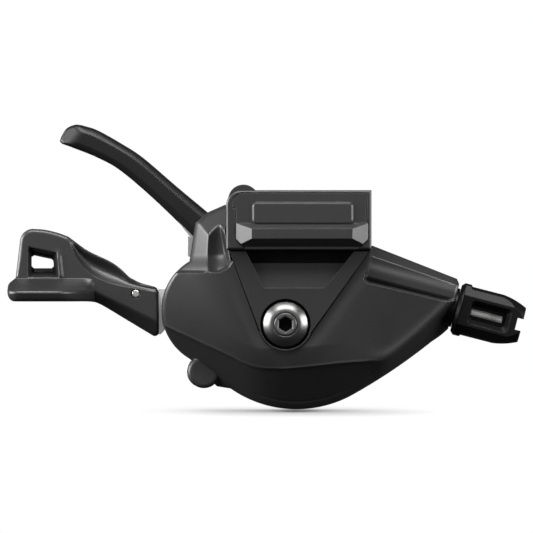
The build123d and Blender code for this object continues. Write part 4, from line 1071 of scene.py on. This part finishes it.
# Painted shade: a near-black ring down in the plate's groove, under the washer's rim
groove_shade = [(GROOVE_SHADE_IN, seat - 0.9), (GROOVE_SHADE_OUT, seat - 0.9), (GROOVE_SHADE_OUT, seat - 0.1)]
groove_shade += [(GROOVE_SHADE_OUT - 0.1, seat - 0.02), (GROOVE_SHADE_IN, seat - 0.02)]
skin("washer_groove_shade", [turned(groove_shade)], groove_shade_black, "housing", [])

# %% [markdown]
# ## Bolt
#
# The bolt clamps the plate to the axle and is turned with a 3 mm hexagon key. A cold header
# would punch its socket. The head is a moulding whose partners lie on the hexagon, so that
# the rows run from the round rim to the six sides and the socket is really open.

# %% Bolt
HEAD_R, HEX, CHAMFER, SHANK_R = 2.65, 3.0, 0.3, 2.0
HEAD_DEEP, SHANK_DEEP, SOCKET_DEEP, FLOOR_DEEP = 2.1, 2.05, 2.0, 2.4
BOLT_COLUMNS = 192
SIXTH = math.pi / 3
bolt_low, bolt_top = depth_range("axle_bolt")
turn = np.linspace(0.0, FULL_TURN, BOLT_COLUMNS, endpoint=False)
unit = np.stack([np.cos(turn), np.sin(turn)], axis=1)
ring = HEAD_R * unit
hexagon = (HEX / 2 / np.cos(turn % SIXTH - SIXTH / 2))[:, None] * unit
c, s = math.cos(SIXTH / 2), math.sin(SIXTH / 2)
hexagon = hexagon @ np.array([[c, s], [-s, c]])


def bolt_face(x, z):
    """Top of the bolt head: level, then down at 45 degrees by the distance to the nearest side."""
    sides = np.arange(6) * SIXTH
    out = np.max(x[..., None] * np.cos(sides) + z[..., None] * np.sin(sides), axis=-1)
    return bolt_top - np.clip(HEX / 2 + CHAMFER - out, 0.0, CHAMFER)


head_shape = moulding(
    ring,
    hexagon,
    bolt_face,
    level(bolt_top - HEAD_DEEP),
    roll=0.35,
    back_roll=0.1,
    rows=16,
    hole=np.full(len(ring), True),
)
shank_shape = round_post(0.0, 0.0, SHANK_R, bolt_low, bolt_top - SHANK_DEEP, roll=0.1)
floor_shape = moulding(
    hexagon,
    HUB * hexagon,
    level(bolt_top - SOCKET_DEEP),
    level(bolt_top - FLOOR_DEEP),
    roll=0.02,
    back_roll=0.02,
    rows=3,
)
skin("socket_bolt", [head_shape, shank_shape], blackened, "housing", ["axle_bolt"])
# The socket's floor is near-black, as painted shade
skin("socket_floor", [floor_shape], socket_shade_black, "housing", ["axle_bolt"])

# %% [markdown]
# ## Stage
#
# The part stands on white paper, as in a product picture. A paper lit by lamps would be
# brighter in places, so this one glows evenly by itself. It sends no light to the part,
# whose underside stays dark. Where the part comes near, ambient occlusion dims the glow,
# and that draws the soft contact shadow.

# %% Paper finish
SHADOW_REACH, SHADOW_POWER = 0.014, 0.33
# Studio paper: an even white that darkens only where the part comes near
paper_mat, tree = new_tree("studio_paper_white")
near = add(tree, "ShaderNodeAmbientOcclusion", {"samples": 16}, {"Distance": SHADOW_REACH})
power = {"operation": "POWER"}
dim = add(tree, "ShaderNodeMath", power, {1: SHADOW_POWER}, {0: near.outputs["AO"]})
glow = add(tree, "ShaderNodeEmission", links={"Strength": dim.outputs["Value"]})
add(tree, "ShaderNodeOutputMaterial", links={"Surface": glow.outputs["Emission"]})
print("shadow reaches", SHADOW_REACH / MM, "mm")

# %% [markdown]
# A photographer hangs a roll of paper in a curve behind the object, which serves one view.
# Here the sheet is a wide bowl: almost level under the part, and rising far off all round,
# so that every view ends on it. Its rings lie closer together near the middle.

# %% Stage
BOWL_R, BEND_R, BOWL_HIGH, SLOPE = 2.6, 0.4, 2.5, 0.045
floor_z = cad_box[0][2] - 0.0001
reach = np.concatenate([[0.0], np.geomspace(0.01, BOWL_R, 70)])
bend = np.linspace(0.0, math.pi / 2, 16)[1:]
far = np.concatenate([reach, BOWL_R + BEND_R * np.sin(bend), [BOWL_R + BEND_R]])[:, None]
lift = np.concatenate([0 * reach, BEND_R - BEND_R * np.cos(bend), [BOWL_HIGH]])[:, None]
around = np.linspace(0.0, FULL_TURN, 120, endpoint=False)
paper_x, paper_y = far * np.cos(around), far * np.sin(around)
# The paper falls a little towards the camera, so that a level view sees the shadow on it
fall = SLOPE * (np.clip(paper_y, -2.0, 0.06) + 0.002)
bowl = np.stack([paper_x, paper_y, floor_z + lift + fall], axis=-1)
bowl_quads = ring_quads(*bowl.shape[:2])
mesh = bpy.data.meshes.new("studio_paper")
mesh.from_pydata(bowl.reshape(-1, 3).tolist(), [], bowl_quads.reshape(-1, 4).tolist())
mesh.shade_smooth()
mesh.materials.append(paper_mat)
paper = bpy.data.objects.new("studio_paper", mesh)
bpy.context.collection.objects.link(paper)
paper.visible_diffuse = False
paper.visible_glossy = False
print("floor at", floor_z)

# %% [markdown]
# ## Light
#
# Four soft boxes light the part: a broad one from above and in front, a strong one from the
# left, a weaker one from the right, and a faint one straight in front that opens the deepest
# blacks. Large boxes give the broad, soft-edged highlights that show the shape of something
# black. A dim white room does the rest.

# %% Light
CENTRE = (-0.0075, -0.02, -0.0108)
ROOM_GLOW = 0.05


def softbox(name, at, width, height, watts):
    """Area light at a point in metres, turned to face the middle of the part."""
    lamp = bpy.data.lights.new(name, "AREA")
    lamp.shape = "RECTANGLE"
    lamp.size, lamp.size_y, lamp.energy = width, height, watts
    obj = bpy.data.objects.new(name, lamp)
    bpy.context.collection.objects.link(obj)
    obj.location = at
    obj.rotation_euler = (Vector(CENTRE) - Vector(at)).to_track_quat("-Z", "Y").to_euler()


softbox("top_light", (0.0, -0.5, 0.85), 1.0, 0.5, 20)
softbox("left_light", (-0.85, -0.15, 0.2), 0.9, 0.5, 24)
softbox("front_light", (0.0, -1.4, 0.1), 0.8, 0.5, 1.3)
softbox("right_light", (0.85, -0.25, 0.15), 0.7, 0.4, 11)
world = bpy.data.worlds.new("dim_room")
bpy.context.scene.world = world
world.use_nodes = True
room = world.node_tree.nodes["Background"].inputs
room["Color"].default_value = hex_linear("#ffffff")
room["Strength"].default_value = ROOM_GLOW
print("lights", [lamp.name for lamp in bpy.data.lights])

# %% [markdown]
# ## Camera
#
# The camera stands far off with a long lens, so the view is almost without perspective, as a
# product photographer would take it. The lens follows from the width that should fill the
# picture: sensor width times distance, over that width.

# %% Camera
PIXELS_PER_MM, PICTURE = 4.3, 533
SENSOR = 36.0
DISTANCE, FOCUS_Y = 2.2, -0.025
lens = bpy.data.cameras.new("long_lens")
lens.sensor_width = SENSOR
lens.lens = SENSOR * DISTANCE / (PICTURE / PIXELS_PER_MM * MM)
lens.clip_start, lens.clip_end = 0.05, 20.0
camera = bpy.data.objects.new("camera", lens)
bpy.context.collection.objects.link(camera)
camera.location = (CENTRE[0], FOCUS_Y - DISTANCE, CENTRE[2])
camera.rotation_euler = (math.pi / 2, 0.0, 0.0)
bpy.context.scene.camera = camera
bpy.context.scene.view_settings.view_transform = "Standard"
print("lens", round(lens.lens, 1), "mm")
